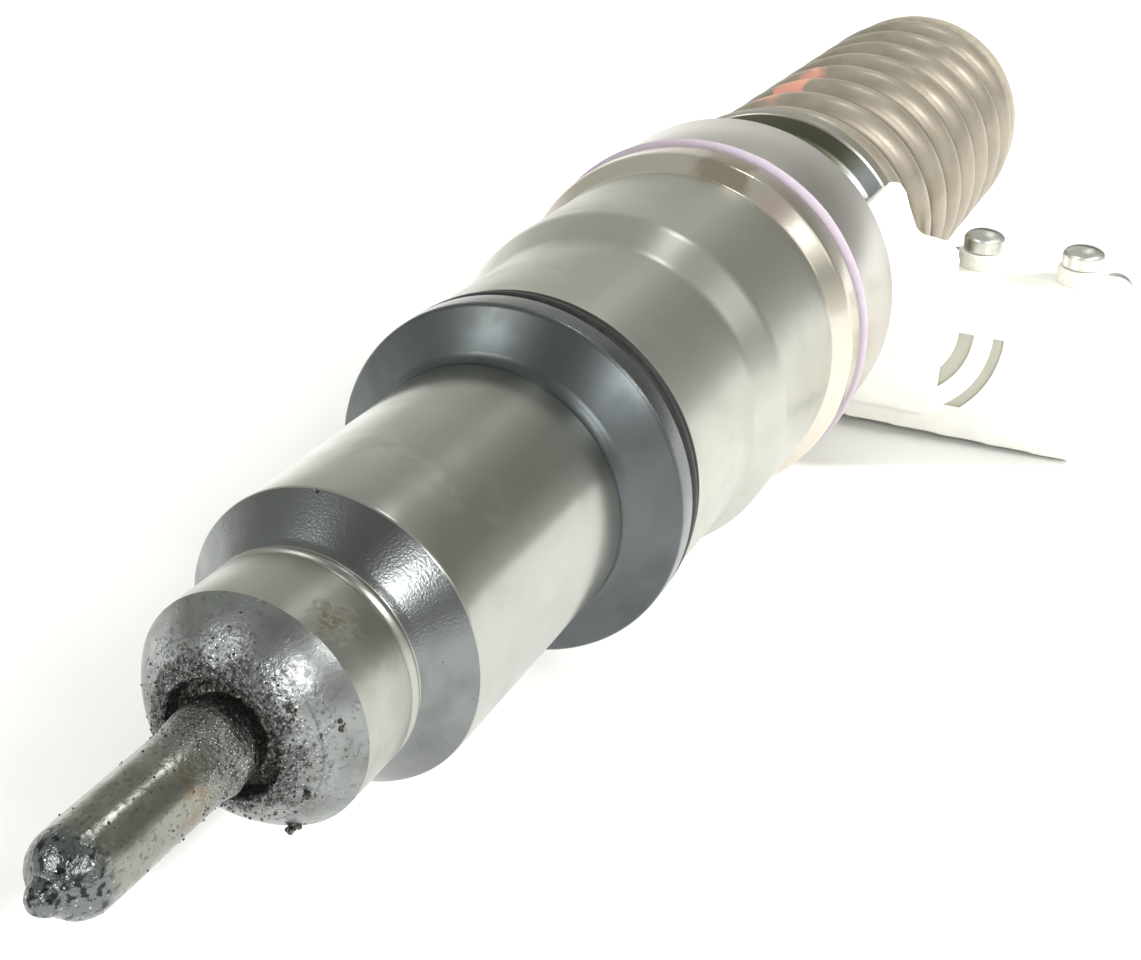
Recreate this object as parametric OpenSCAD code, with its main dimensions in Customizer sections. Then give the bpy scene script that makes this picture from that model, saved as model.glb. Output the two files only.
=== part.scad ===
// Mechanically driven unit fuel injector of a heavy diesel engine, lying on its side.
// +X runs along the injector's axis from the nozzle tip to the tappet, +Z is up and the solenoid arm
// reaches towards -Y. The origin is on the axis, at the front face of the locating flange.

/* [Nozzle] */
// Radius of the nozzle's slim tip
tip_r = 3.5; // [3.2:0.05:3.8]
// How far the slim tip stands out of the cap nut, up to its dome
tip_reach = 17; // [14:0.5:19]
// Lift of the nozzle needle
needle_lift = 0.3; // [0.2:0.05:0.3]
// Number of spray holes round the sac
spray_holes = 6; // [4:1:8]

/* [Cap nut] */
// Distance from the locating face to the front of the nut
nut_reach = 49.75; // [49:0.25:51]
// Radius of the hole that the nozzle tip comes out of
nut_hole_r = 5.16; // [5.1:0.02:5.4]
// Outer radius of the nut's nose
nose_r = 10.45; // [10.2:0.05:10.8]
// Radius of the nut's long barrel
nut_r = 13.9; // [13.6:0.1:14.2]
// Radius of the locating flange
flange_r = 18.8; // [18.6:0.1:19.2]
// Thickness of the locating flange
flange_t = 2.6; // [2.2:0.1:3]

/* [Body] */
// Radius of the lower land, just behind the flange
land_1_r = 18.4; // [18:0.1:18.5]
// Radius of the middle land
land_2_r = 20.2; // [19.8:0.1:20.4]
// Radius of the upper land, which carries the upper O-ring
land_3_r = 21.9; // [21.7:0.1:22.1]
// Radius of the neck that the hold-down clamp reaches round
neck_r = 16; // [15.5:0.1:16.5]
// Radius of the spring seat flange
seat_r = 19.4; // [19:0.1:19.5]
// Radius of the plunger
plunger_r = 5; // [4.6:0.1:5.4]

/* [Return spring and tappet] */
// Outer radius of the return spring
spring_r = 18.7; // [18.4:0.1:18.8]
// Thickness of the spring wire across the coil
wire_w = 6; // [5:0.1:6]
// Thickness of the spring wire along the axis
wire_h = 6.6; // [5.6:0.1:6.8]
// Distance between coils at rest
coil_pitch = 10; // [9.4:0.1:10.4]
// Plunger stroke
stroke = 16; // [10:0.5:16]

/* [Solenoid arm] */
// Roll of the arm below the horizontal, in degrees, at which its corner meets the table
arm_roll = 2.7; // [0:0.1:2.9]
// Reach of the arm from the injector's axis
arm_reach = 48; // [47:0.5:49]
// Width of the solenoid stack
stack_w = 28.5; // [28:0.1:28.6]
// Height of the solenoid stack
stack_h = 17.4; // [17:0.1:17.8]
// Depth of the arm's own block
arm_depth = 12; // [12:0.1:12.5]
// Lift of the control valve
valve_lift = 0.2; // [0.1:0.05:0.25]

/* [Hidden] */

$fn = 96;
fit = 0.03;
play = 0.1;
eps = 0.01;
arc_steps = 8;

// Stations along the axis
nut_x = -nut_reach;
tip_x = nut_x - tip_reach;
nose_x = nut_x + 4.45;
groove_x = nose_x + 7.2;
cone_x = nose_x + 8.95;
barrel_x = cone_x + 3.1;
land_1_x = flange_t + 2.5;
chamfer_x = land_1_x + 17.95;
land_2_x = chamfer_x + 4.7;
band_x = land_2_x + 18.2;
land_3_x = band_x + 2.3;
upper_ring_x = land_3_x + 5.3;
shoulder_x = land_3_x + 18.8;
neck_x = shoulder_x + 3.1;
seat_x = neck_x + 12.6;
spring_x = seat_x + 3;
tappet_x = spring_x + 79.6;
tappet_t = 3.5;
barrel_end_x = spring_x + 42.25;

// Stack held inside the cap nut
nozzle_x = -38.5;
nozzle_big_r = 7.15;
plate_x = -26;
cage_x = -23.5;
adaptor_x = -10.5;
spigot_x = -8;
stack_r = 10.2;
spigot_r = 11.15;
feed_offset = 5.4;
feed_r = 0.8;

// Needle
needle_r = 2;
needle_shaft_r = 1.45;
tip_bore_r = 1.9;
sac_r = 0.5;
seat_end_x = tip_x - 1.15;
seat_slope = 0.875;
seat_start_x = seat_end_x + (tip_bore_r - sac_r) / seat_slope;
stem_r = 1.4;
needle_seat_x = cage_x + 1;
cage_bore_r = 3.6;
shim_x = adaptor_x - 2;

// O-rings
lower_ring_section = 1.1;
upper_ring_section = 1.2;
lower_ring_mid = 17.65;
upper_ring_mid = 21.15;

// Plunger drive
bore_r = plunger_r + fit;
chamber_x = 12;
plunger_tip_x = 32;
guide_r = 9;
skirt_r = 11.6;
skirt_x = spring_x + 26.25;
stop_pin_x = skirt_x + 9;
stop_pin_r = 1;
head_x = tappet_x - 7;
head_r = 6.5;

// Solenoid stack, in the arm's own frame
arm_x = seat_x - 4.5;
spacer_x = arm_x + arm_depth;
housing_x = spacer_x + 3;
clamp_x = housing_x + 11;
clamp_t = 2.5;
arm_bottom = -20;
valve_y = -arm_reach + stack_w / 2;
valve_z = arm_bottom + stack_h / 2;
valve_r = 3;
valve_wall = 1.75;
collar_x = arm_x + 4.9;
armature_x = spacer_x + 0.55;
armature_t = 2;
window_w = 16;
window_h = 13;
pocket_w = 17;
pocket_h = 13.2;
pocket_depth = 8.5;
screw_y = 11.25;
screw_z = 5.7;
screw_r = 1.5;
screw_head_r = 2.6;
screw_head_t = 2.8;
terminal_x = housing_x + 7.5;
terminal_y = [-26.8, -40.7];
terminal_r = 2.9;
collar_h = 2.2;
stack_top = arm_bottom + stack_h;

// Points of an arc from angle a0 to a1
function arc(cx, cy, rx, ry, a0, a1, n = arc_steps) =
    [for (i = [0:n]) let (a = a0 + (a1 - a0) * i / n) [cx + rx * cos(a), cy + ry * sin(a)]];

// Outline of a rectangle with rounded corners, between two corners
function rounded_box(x0, y0, x1, y1, r, n = 5) = concat(
    arc(x1 - r, y1 - r, r, r, 0, 90, n),
    arc(x0 + r, y1 - r, r, r, 90, 180, n),
    arc(x0 + r, y0 + r, r, r, 180, 270, n),
    arc(x1 - r, y0 + r, r, r, 270, 360, n));

// Solid of revolution about X; the outline's points are [radius, station]
module turned(points) {
    rotate([0, 90, 0])
        rotate_extrude()
            polygon(points);
}

// Plain round bar along X between two stations
module bar(x0, x1, r, y = 0, z = 0) {
    translate([x0, y, z])
        rotate([0, 90, 0])
            cylinder(h = x1 - x0, r = r);
}

// Round bar from one point to another
module drilling(a, b, r) {
    d = b - a;
    across = norm([d[0], d[1]]);
    translate(a)
        rotate([0, atan2(across, d[2]), atan2(d[1], d[0])])
            cylinder(h = norm(d), r = r);
}

// Torus about X at a station
module ring(x, mid_r, section_r) {
    translate([x, 0, 0])
        rotate([0, 90, 0])
            rotate_extrude()
                translate([mid_r, 0])
                    circle(r = section_r, $fn = 32);
}

// Prism along X of an outline given in Y and Z
module prism(x0, x1, points) {
    translate([x0, 0, 0])
        rotate([90, 0, 90])
            linear_extrude(height = x1 - x0)
                polygon(points);
}

// Coil about X with closed ends
module coil(x0, x1, outer_r, w, h, pitch, ring_steps, sides, y = 0, z = 0) {
    closed_turns = 0.75;
    first = x0 + h / 2;
    last = x1 - h / 2;
    closed_rise = closed_turns * h * 1.02;
    active_turns = max(1, round((last - first - 2 * closed_rise) / pitch * 4) / 4);
    active_pitch = (last - first - 2 * closed_rise) / active_turns;
    turns = active_turns + 2 * closed_turns;
    n = round(turns * ring_steps);
    function station(t) =
        t < closed_turns ? first + t * closed_rise / closed_turns
        : t > turns - closed_turns ? last - (turns - t) * closed_rise / closed_turns
        : first + closed_rise + (t - closed_turns) * active_pitch;
    mid = outer_r - w / 2;
    points = [for (i = [0:n]) let (t = turns * i / n, a = 360 * t)
        for (k = [0:sides - 1]) let (b = 360 * k / sides, r = mid + w / 2 * cos(b))
            [station(t) + h / 2 * sin(b), y + r * cos(a), z + r * sin(a)]];
    walls = [for (i = [0:n - 1]) for (k = [0:sides - 1]) let (m = (k + 1) % sides)
        [i * sides + k, (i + 1) * sides + k, (i + 1) * sides + m, i * sides + m]];
    start_cap = [for (k = [0:sides - 1]) k];
    end_cap = [for (k = [sides - 1:-1:0]) n * sides + k];
    polyhedron(points = points, faces = concat([start_cap], walls, [end_cap]), convexity = 20);
}

// Places children in the arm's rolled frame
module arm_frame() {
    rotate([arm_roll, 0, 0])
        children();
}

// Outline of the solenoid stack in the arm's frame
function stack_outline(inset = 0, r = 2.6) = rounded_box(
    -arm_reach + inset, arm_bottom + inset,
    -arm_reach + stack_w - inset, stack_top - inset, r);

// Window about the valve's axis
function window_outline(w, h, r) = rounded_box(
    valve_y - w / 2, valve_z - h / 2, valve_y + w / 2, valve_z + h / 2, r, 4);

// Repeats children at the four screws of the stack
module each_screw() {
    for (sy = [-1, 1])
        for (sz = [-1, 1])
            translate([0, valve_y + sy * screw_y, valve_z + sz * screw_z])
                children();
}

// ---- Nozzle and its stack ----

module nozzle_body() {
    shank_x = nut_x + 2.75;
    step_r = nut_hole_r - 0.3;
    dome = arc(0, tip_x, tip_r, 3.3, 0, -65.5, 6);
    sac = arc(0, tip_x - 3.1, 1.45, 1.45, 2, -90, 7);
    color("dimgray")
        difference() {
            turned(concat([for (p = sac) [max(p[0], 0), p[1]]],
                [[0, plate_x], [nozzle_big_r - 0.4, plate_x], [nozzle_big_r, plate_x - 0.4],
                [nozzle_big_r, nozzle_x + 0.5], [nozzle_big_r - 0.5, nozzle_x], [step_r, nozzle_x],
                [step_r, shank_x + 1.2], [tip_r, shank_x]], dome));
            turned([[0, seat_end_x - 1.6], [sac_r, seat_end_x - 1.3], [sac_r, seat_end_x],
                [tip_bore_r, seat_start_x], [tip_bore_r, nozzle_x - 1.2], [3.1, nozzle_x],
                [3.1, nozzle_x + 3], [needle_r, nozzle_x + 3.8], [needle_r, plate_x + 1],
                [0, plate_x + 1]]);
            drilling([plate_x + 0.5, 0, feed_offset], [nozzle_x + 1.5, 0, 2], feed_r);
            for (i = [0:spray_holes - 1])
                rotate([i * 360 / spray_holes + 15, 0, 0])
                    drilling([seat_end_x - 0.8, 0, 0], [seat_end_x - 2.8, 0, 3.6], 0.15);
            dowel_holes();
        }
}

module nozzle_needle() {
    top_x = plate_x - needle_lift - 0.05;
    cone_start_x = seat_start_x - (tip_bore_r - needle_shaft_r) / seat_slope + 0.06;
    cone_end_r = 0.45;
    color("silver")
        turned([[0, cone_start_x - (needle_shaft_r - cone_end_r) / seat_slope],
            [cone_end_r, cone_start_x - (needle_shaft_r - cone_end_r) / seat_slope],
            [needle_shaft_r, cone_start_x], [needle_shaft_r, nozzle_x + 1.4],
            [needle_r - fit, nozzle_x + 2.4], [needle_r - fit, top_x], [stem_r, top_x],
            [stem_r, needle_seat_x], [0, needle_seat_x]]);
}

module needle_stop_plate() {
    color("gray")
        difference() {
            bar(plate_x, cage_x, stack_r);
            bar(plate_x - 1, cage_x + 1, stem_r + 0.2);
            bar(plate_x - 1, cage_x + 1, feed_r, 0, feed_offset);
            dowel_holes();
        }
}

module needle_spring_seat() {
    color("silver")
        turned([[0, needle_seat_x], [3, needle_seat_x], [3.2, needle_seat_x + 0.2],
            [3.2, needle_seat_x + 1.5], [1.6, needle_seat_x + 1.5], [1.4, needle_seat_x + 3.2],
            [0, needle_seat_x + 3.2]]);
}

module nozzle_spring() {
    color("slategray")
        coil(needle_seat_x + 1.55, shim_x - 0.05, 3.2, 1.2, 1.2, 1.75, 14, 8);
}

module pressure_shim() {
    color("lightgray")
        difference() {
            bar(shim_x, shim_x + 0.9, cage_bore_r - play);
            bar(shim_x - 1, shim_x + 2, 1.2);
        }
}

module spring_cage() {
    color("gray")
        difference() {
            turned([[0, cage_x], [stack_r, cage_x], [stack_r, adaptor_x - 0.5],
                [stack_r - 0.5, adaptor_x], [0, adaptor_x]]);
            bar(cage_x - 1, shim_x + 0.95, cage_bore_r);
            bar(cage_x - 1, adaptor_x + 1, 1);
            bar(cage_x - 1, adaptor_x + 1, feed_r, 0, feed_offset);
            dowel_holes();
        }
}

module adaptor_plate() {
    color("gray")
        difference() {
            bar(adaptor_x, spigot_x, stack_r);
            drilling([spigot_x + 0.6, 0, 0], [adaptor_x - 0.3, 0, feed_offset], feed_r);
            dowel_holes();
        }
}

// Dowels: two between nozzle, plate and cage, two between cage, adaptor and body
lower_dowel = [-28, -21, 5.4, 0.75];
upper_dowel = [-12.5, -5.5, 7.6, 0.75];

module dowel_holes() {
    for (d = [lower_dowel, upper_dowel])
        for (side = [-1, 1])
            bar(d[0] - 0.3, d[1] + 0.3, d[3] + fit, side * d[2]);
}

module dowel_pins() {
    color("silver")
        for (d = [lower_dowel, upper_dowel])
            for (side = [-1, 1])
                bar(d[0], d[1], d[3], side * d[2]);
}

module nozzle_cap_nut() {
    dome_x = nose_x + 6.52;
    dome_r = norm([nose_r, dome_x - nose_x]);
    nose = arc(0, dome_x, dome_r, dome_r, -asin((dome_x - nut_x) / dome_r),
        -asin((dome_x - nose_x) / dome_r), 10);
    fillet = arc(nut_r + 1.6, -3.9, 1.6, 1.6, 180, 110, 6);
    color("lightslategray")
        difference() {
            turned(concat([[nut_hole_r - 1, nut_x]], nose, [
                [nose_r, groove_x - 0.4], [nose_r - 0.35, groove_x - 0.15],
                [nose_r - 0.35, groove_x + 0.15], [nose_r, groove_x + 0.4],
                [nose_r, cone_x - 0.9], [nose_r - 0.3, cone_x - 0.6], [nose_r + 0.2, cone_x],
                [nut_r - 0.15, barrel_x - 0.25], [nut_r, barrel_x]],
                fillet, [[flange_r - 0.25, -0.2], [flange_r, 0], [flange_r, flange_t],
                [nut_hole_r - 1, flange_t]]));
            turned([[0, nut_x - 1], [nut_hole_r, nut_x - 1], [nut_hole_r, nozzle_x - 0.5],
                [nozzle_big_r - 0.5, nozzle_x], [nozzle_big_r + play, nozzle_x + 0.6],
                [nozzle_big_r + play, plate_x], [stack_r + play, plate_x], [stack_r + play, spigot_x],
                [spigot_r + 0.05, spigot_x], [spigot_r + 0.05, flange_t + 1], [0, flange_t + 1]]);
        }
}

// ---- Seals and body ----

module lower_o_ring() {
    color("#151515")
        ring(flange_t + 1.25, lower_ring_mid, lower_ring_section);
}

module upper_o_ring() {
    color("#8f7796")
        ring(upper_ring_x, upper_ring_mid, upper_ring_section);
}

// Upper O-ring groove, cut from the body
module upper_groove() {
    half_w = upper_ring_section + 0.15;
    floor_r = upper_ring_mid - upper_ring_section - 0.05;
    turned([[floor_r, upper_ring_x - half_w], [land_3_r + 1, upper_ring_x - half_w],
        [land_3_r + 1, upper_ring_x + half_w], [floor_r, upper_ring_x + half_w]]);
}

// Turned shape of the body without its arm
module body_turning() {
    ring_floor_r = lower_ring_mid - lower_ring_section - 0.05;
    turned(concat([[0, spigot_x], [spigot_r - 0.6, spigot_x], [spigot_r, spigot_x + 0.6],
        [spigot_r, flange_t], [ring_floor_r, flange_t], [ring_floor_r, land_1_x],
        [land_1_r - 0.3, land_1_x], [land_1_r, land_1_x + 0.4], [land_1_r, chamfer_x],
        [land_2_r, land_2_x], [land_2_r, band_x], [land_3_r, land_3_x], [land_3_r, shoulder_x]],
        arc(land_3_r - 3, shoulder_x, 3, 2.4, 15, 65, 4), [[neck_r + 3, neck_x]],
        arc(neck_r + 1, neck_x + 1, 1, 1, 270, 180, 3), [[neck_r, seat_x - 0.8],
        [neck_r + 0.8, seat_x], [seat_r - 0.3, seat_x], [seat_r, seat_x + 0.3],
        [seat_r, spring_x - 0.3], [seat_r - 0.3, spring_x], [guide_r + 0.6, spring_x],
        [guide_r, spring_x + 0.6], [guide_r, barrel_end_x - 0.6], [guide_r - 0.6, barrel_end_x],
        [0, barrel_end_x]]));
}

// Root, ear and block of the forged arm
module arm_forging() {
    ear = [[-13.6, arm_bottom + 3], [-14.2, 10.2], [-14.8, 11.3], [-15.8, 11.9], [-16.9, 11.6],
        [-17.8, 10.6], [-18.6, 8.6], [-19.9, 5.8], [-20.8, 5.2], [-24.4, 4.8], [-25.7, 3.9],
        [-26.3, 2.4], [-26.3, arm_bottom + 3]];
    root = rounded_box(-25, arm_bottom + 0.4, -4, 8, 3);
    block = rounded_box(-arm_reach, arm_bottom, -10, stack_top, 2.6);
    edge = 1.2;
    difference() {
        union() {
            intersection() {
                union() {
                    prism(neck_x - 1, arm_x + 2, root);
                    prism(neck_x - 1, arm_x + 2, ear);
                }
                bar(neck_x - 2, arm_x + 3, land_3_r - 1.3);
            }
            prism(arm_x - 1.5, spacer_x - 4, ear);
            difference() {
                prism(arm_x, spacer_x, block);
                translate([arm_x, -30, arm_bottom])
                    rotate([0, 45, 0])
                        cube([edge, 60, edge * 2], center = true);
            }
        }
        bar(spring_x, spacer_x + 1, seat_r + 0.5);
    }
}

// Two shallow arcs milled into the front of the arm
module relief_arcs() {
    intersection() {
        union()
            for (groove = [[9.3, 1], [13.6, 0.7]])
                translate([0, -20.6, -5.1])
                    turned([[groove[0] - groove[1], arm_x - 1], [groove[0] + groove[1], arm_x - 1],
                        [groove[0] + groove[1], arm_x + 0.45],
                        [groove[0] - groove[1], arm_x + 0.45]]);
        prism(arm_x - 2, arm_x + 2, [[-27.1, -15.5], [-36, -15.5], [-36, -4.9], [-27.1, -4.9]]);
    }
}

gallery_point = [neck_x + 4, -12, -4];
cross_x = 15;
plug_at = [cross_x, land_1_r - 2.4, 0];
filter_x = land_2_x + 5;
filter_angles = [20, -75];

// Openings of the fuel inlets, each a stepped hole in the middle land
module inlet_holes() {
    for (a = filter_angles)
        rotate([a, 0, 0]) {
            drilling([filter_x, land_2_r - 2, 0], [filter_x, land_2_r + 2, 0], 3);
            drilling([filter_x, bore_r - 1, 0], [filter_x, land_2_r, 0], 1.2);
        }
}

module injector_body() {
    color("darkgray")
        difference() {
            union() {
                body_turning();
                arm_frame()
                    arm_forging();
            }
            upper_groove();
            bar(chamber_x, barrel_end_x + 1, bore_r);
            bar(spigot_x - 1, chamber_x + 1, 1);
            dowel_holes();
            drilling([cross_x, land_1_r + 1, 0], [cross_x, -13.2, -4.4], 1.2);
            translate(plug_at)
                rotate([-90, 0, 0])
                    cylinder(h = 6, r = 2.5);
            drilling([cross_x - 0.2, -12, -4], gallery_point + [1, 0, 0], 1);
            inlet_holes();
            stop_pin_hole();
            arm_frame() {
                drilling([arm_x + 8.4, valve_y, valve_z], gallery_point, 0.9);
                bar(arm_x + valve_wall, spacer_x + 1, valve_r, valve_y, valve_z);
                each_screw()
                    bar(arm_x + 3, spacer_x + 1, screw_r + fit);
                relief_arcs();
            }
        }
}

module inlet_filters() {
    color("#b8a070")
        for (a = filter_angles)
            rotate([a, 0, 0])
                difference() {
                    drilling([filter_x, land_2_r - 1.95, 0], [filter_x, land_2_r - 0.7, 0], 2.95);
                    for (i = [-2:2])
                        for (j = [-2:2])
                            drilling([filter_x + i * 0.95, land_2_r - 3, j * 0.95],
                                [filter_x + i * 0.95, land_2_r, j * 0.95], 0.3);
                }
}

module gallery_plugs() {
    color("silver")
        difference() {
            translate(plug_at)
                rotate([-90, 0, 0])
                    cylinder(h = 1.9, r = 2.5 - fit);
            translate(plug_at + [0, 0.9, 0])
                rotate([-90, 0, 0])
                    cylinder(h = 2, r = 1.2, $fn = 6);
        }
}

// ---- Plunger drive ----

module plunger() {
    color("silver")
        turned([[0, plunger_tip_x], [plunger_r - 0.4, plunger_tip_x], [plunger_r, plunger_tip_x + 0.4],
            [plunger_r, plunger_tip_x + 30], [plunger_r - 0.4, plunger_tip_x + 30.5],
            [plunger_r - 0.4, plunger_tip_x + 33], [plunger_r, plunger_tip_x + 33.5],
            [plunger_r, head_x - 2.6], [plunger_r - 1.2, head_x - 2.6], [plunger_r - 1.2, head_x],
            [head_r - 0.5, head_x], [head_r, head_x + 0.5], [head_r, head_x + 3], [0, head_x + 3]]);
}

module plunger_return_spring() {
    color("#8b8375")
        coil(spring_x + 0.05, tappet_x - 0.05, spring_r, wire_w, wire_h, coil_pitch, 24, 12);
}

// Pocket for the plunger's head, open towards the pad
module tappet() {
    disc_r = 18.2;
    slot_end_x = stop_pin_x + stroke + stop_pin_r + play;
    pin_slot_w = 2 * stop_pin_r + 0.3;
    color("gray")
        difference() {
            turned([[guide_r + 0.05, skirt_x], [skirt_r - 0.5, skirt_x], [skirt_r, skirt_x + 0.5],
                [skirt_r, tappet_x], [disc_r - 0.6, tappet_x], [disc_r, tappet_x + 0.6],
                [disc_r, tappet_x + tappet_t - 0.8], [disc_r - 0.8, tappet_x + tappet_t],
                [8, tappet_x + tappet_t], [8, head_x], [7.4, head_x], [7.4, head_x - 2.5],
                [guide_r + 0.05, head_x - 2.5]]);
            for (side = [-1, 1])
                translate([stop_pin_x - stop_pin_r - play, -pin_slot_w / 2, side > 0 ? 8 : -13])
                    cube([slot_end_x - stop_pin_x + stop_pin_r + play, pin_slot_w, 5]);
        }
}

// Split collar that ties the plunger's head to the tappet
module plunger_keeper() {
    color("lightgray")
        difference() {
            bar(head_x - 2.4, head_x - 0.1, 7.35);
            bar(head_x - 4, head_x + 1, plunger_r - 1.15);
            translate([head_x - 5, -0.4, -10])
                cube([8, 0.8, 20]);
        }
}

module tappet_pad() {
    pad_x = head_x + 3.05;
    color("silver")
        turned([[0, pad_x], [7.5, pad_x], [7.9, pad_x + 0.4], [7.9, tappet_x + tappet_t],
            [7.4, tappet_x + tappet_t + 2.2], [6.6, tappet_x + tappet_t + 3], [0, tappet_x + tappet_t + 3]]);
}

// Radial hole that holds the stop pin
module stop_pin_hole() {
    for (side = [-1, 1])
        drilling([stop_pin_x, 0, side * (bore_r - 1)], [stop_pin_x, 0, side * (guide_r + 1)],
            stop_pin_r);
}

module tappet_stop_pin() {
    color("silver")
        for (side = [-1, 1])
            drilling([stop_pin_x, 0, side * (bore_r + 0.4)], [stop_pin_x, 0, side * 11.2],
                stop_pin_r - eps);
}

// ---- Control valve and solenoid ----

module control_valve() {
    color("silver")
        arm_frame()
            translate([0, valve_y, valve_z])
                turned([[0, collar_x - 0.8], [1.8, collar_x - 0.8], [1.9, collar_x],
                    [valve_r - fit, collar_x], [valve_r - fit, collar_x + 0.75],
                    [2.2, collar_x + 0.9], [2.2, collar_x + 1.4], [valve_r - fit, collar_x + 1.8],
                    [valve_r - fit, collar_x + 3], [2.3, collar_x + 3.3], [2.3, collar_x + 4.2],
                    [valve_r - fit, collar_x + 4.5], [valve_r - fit, spacer_x + 0.1],
                    [2.2, spacer_x + 0.1], [2.2, armature_x + 1.2], [0.9, armature_x + 1.2],
                    [0.9, spacer_x - 4], [0, spacer_x - 4]]);
}

module valve_spring() {
    color("slategray")
        arm_frame()
            coil(arm_x + valve_wall + 0.1, collar_x - 0.05, 2.9, 0.7, 0.7, 1, 14, 8, valve_y, valve_z);
}

module armature() {
    color("dimgray")
        arm_frame()
            difference() {
                prism(armature_x, armature_x + armature_t, window_outline(14.6, 11.6, 1.2));
                bar(armature_x - 1, armature_x + 1.25, 2.2 + fit, valve_y, valve_z);
                bar(armature_x, armature_x + armature_t + 1, 1.1, valve_y, valve_z);
                for (sy = [-1, 1])
                    bar(armature_x - 1, armature_x + armature_t + 1, 1.1, valve_y + sy * 5, valve_z);
            }
}

module armature_screw() {
    head = armature_x + armature_t;
    color("silver")
        arm_frame()
            difference() {
                union() {
                    bar(head, head + 1, 1.9, valve_y, valve_z);
                    bar(spacer_x - 3.5, head + eps, 0.88, valve_y, valve_z);
                }
                translate([head + 0.4, valve_y, valve_z])
                    rotate([0, 90, 0])
                        cylinder(h = 2, r = 0.9, $fn = 6);
            }
}

module armature_spacer() {
    color("lightgray")
        arm_frame()
            difference() {
                prism(spacer_x, housing_x, stack_outline());
                prism(spacer_x - 1, housing_x + 1, window_outline(window_w, window_h, 1.6));
                each_screw()
                    bar(spacer_x - 1, housing_x + 1, screw_r + play);
                seal_groove(spacer_x);
                seal_groove(housing_x);
            }
}

// Groove round the window, cut both ways from a face
module seal_groove(x) {
    difference() {
        prism(x - 0.6, x + 0.6, window_outline(window_w + 2.6, window_h + 2.6, 2.6));
        prism(x - 1, x + 1, window_outline(window_w + 1, window_h + 1, 1.9));
    }
}

module spacer_seals() {
    color("#202020")
        arm_frame()
            for (x = [spacer_x + 0.05, housing_x - 0.55])
                difference() {
                    prism(x, x + 0.5, window_outline(window_w + 2.5, window_h + 2.5, 2.5));
                    prism(x - 1, x + 1, window_outline(window_w + 1.1, window_h + 1.1, 2));
                }
}

module stator_housing() {
    color("whitesmoke")
        arm_frame()
            difference() {
                prism(housing_x, clamp_x, stack_outline());
                prism(housing_x - 1, housing_x + pocket_depth, window_outline(pocket_w, pocket_h, 1));
                each_screw()
                    bar(housing_x - 1, clamp_x + 1, screw_r + play);
                for (y = terminal_y)
                    translate([terminal_x, y, stack_top - 2])
                        cylinder(h = 4, r = 1.4 + fit);
            }
}

core_w = 16.8;
core_h = 13;
leg_w = 5.6;
slot_w = 3.2;
slot_depth = 6;

// Slots either side of the core's middle leg
function leg_edge(side) = valve_y + side * (leg_w / 2 + slot_w / 2);

module stator_core() {
    color("#5a5a60")
        arm_frame()
            difference() {
                prism(housing_x + 0.1, housing_x + pocket_depth - 0.1,
                    window_outline(core_w, core_h, 0.8));
                for (side = [-1, 1])
                    translate([housing_x - 1, leg_edge(side) - slot_w / 2, valve_z - core_h])
                        cube([slot_depth + 1, slot_w, core_h * 2]);
                bar(housing_x - 1, housing_x + 1.6, 2.2, valve_y, valve_z);
                for (z = [-1, 1])
                    translate([housing_x - 1, valve_y - leg_w, valve_z + z * (core_h / 2 - 0.9) - 1])
                        cube([slot_depth + 1, leg_w * 2, 2]);
            }
}

module stator_coil() {
    color("#9a4a20")
        arm_frame()
            difference() {
                prism(housing_x + 0.6, housing_x + slot_depth - 0.1, window_outline(
                    leg_w + 2 * slot_w - 0.2, core_h - 0.2, 1.4));
                prism(housing_x, housing_x + slot_depth, window_outline(
                    leg_w + 0.4, core_h - 3.4, 0.2));
            }
}

module clamp_plate() {
    color("lightgray")
        arm_frame()
            difference() {
                prism(clamp_x, clamp_x + clamp_t, stack_outline(0.3));
                each_screw()
                    bar(clamp_x - 1, clamp_x + clamp_t + 1, screw_r + play);
                prism(clamp_x + 1.7, clamp_x + clamp_t + 1, window_outline(11.5, 9.5, 2));
            }
}

module stator_screws() {
    head_x = clamp_x + clamp_t;
    color("silver")
        arm_frame()
            each_screw()
                difference() {
                    union() {
                        bar(arm_x + 4, head_x + eps, screw_r);
                        turned([[0, head_x], [screw_head_r, head_x],
                            [screw_head_r, head_x + screw_head_t - 0.3],
                            [screw_head_r - 0.3, head_x + screw_head_t], [0, head_x + screw_head_t]]);
                    }
                    translate([head_x + 1.2, 0, 0])
                        rotate([0, 90, 0])
                            cylinder(h = 3, r = 1.45, $fn = 6);
                }
}

module terminal_insulators() {
    color("#e8e2d0")
        arm_frame()
            for (y = terminal_y)
                translate([terminal_x, y, stack_top])
                    difference() {
                        cylinder(h = collar_h, r = terminal_r + 0.4);
                        translate([0, 0, -1])
                            cylinder(h = collar_h + 2, r = 1.4 + fit);
                    }
}

module terminal_screws() {
    head_z = stack_top + collar_h;
    head_t = 3.1;
    color("silver")
        arm_frame()
            for (y = terminal_y)
                translate([terminal_x, y, 0])
                    difference() {
                        union() {
                            translate([0, 0, stack_top - 1.9])
                                cylinder(h = collar_h + 2, r = 1.4);
                            translate([0, 0, head_z])
                                rotate_extrude()
                                    polygon(concat([[0, 0], [terminal_r, 0]],
                                        arc(terminal_r - 1.2, head_t - 1.4, 1.2, 1.4, 0, 80, 6),
                                        [[0, head_t]]));
                        }
                        translate([-4, -0.4, head_z + head_t - 1])
                            cube([8, 0.8, 2]);
                    }
}

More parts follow.
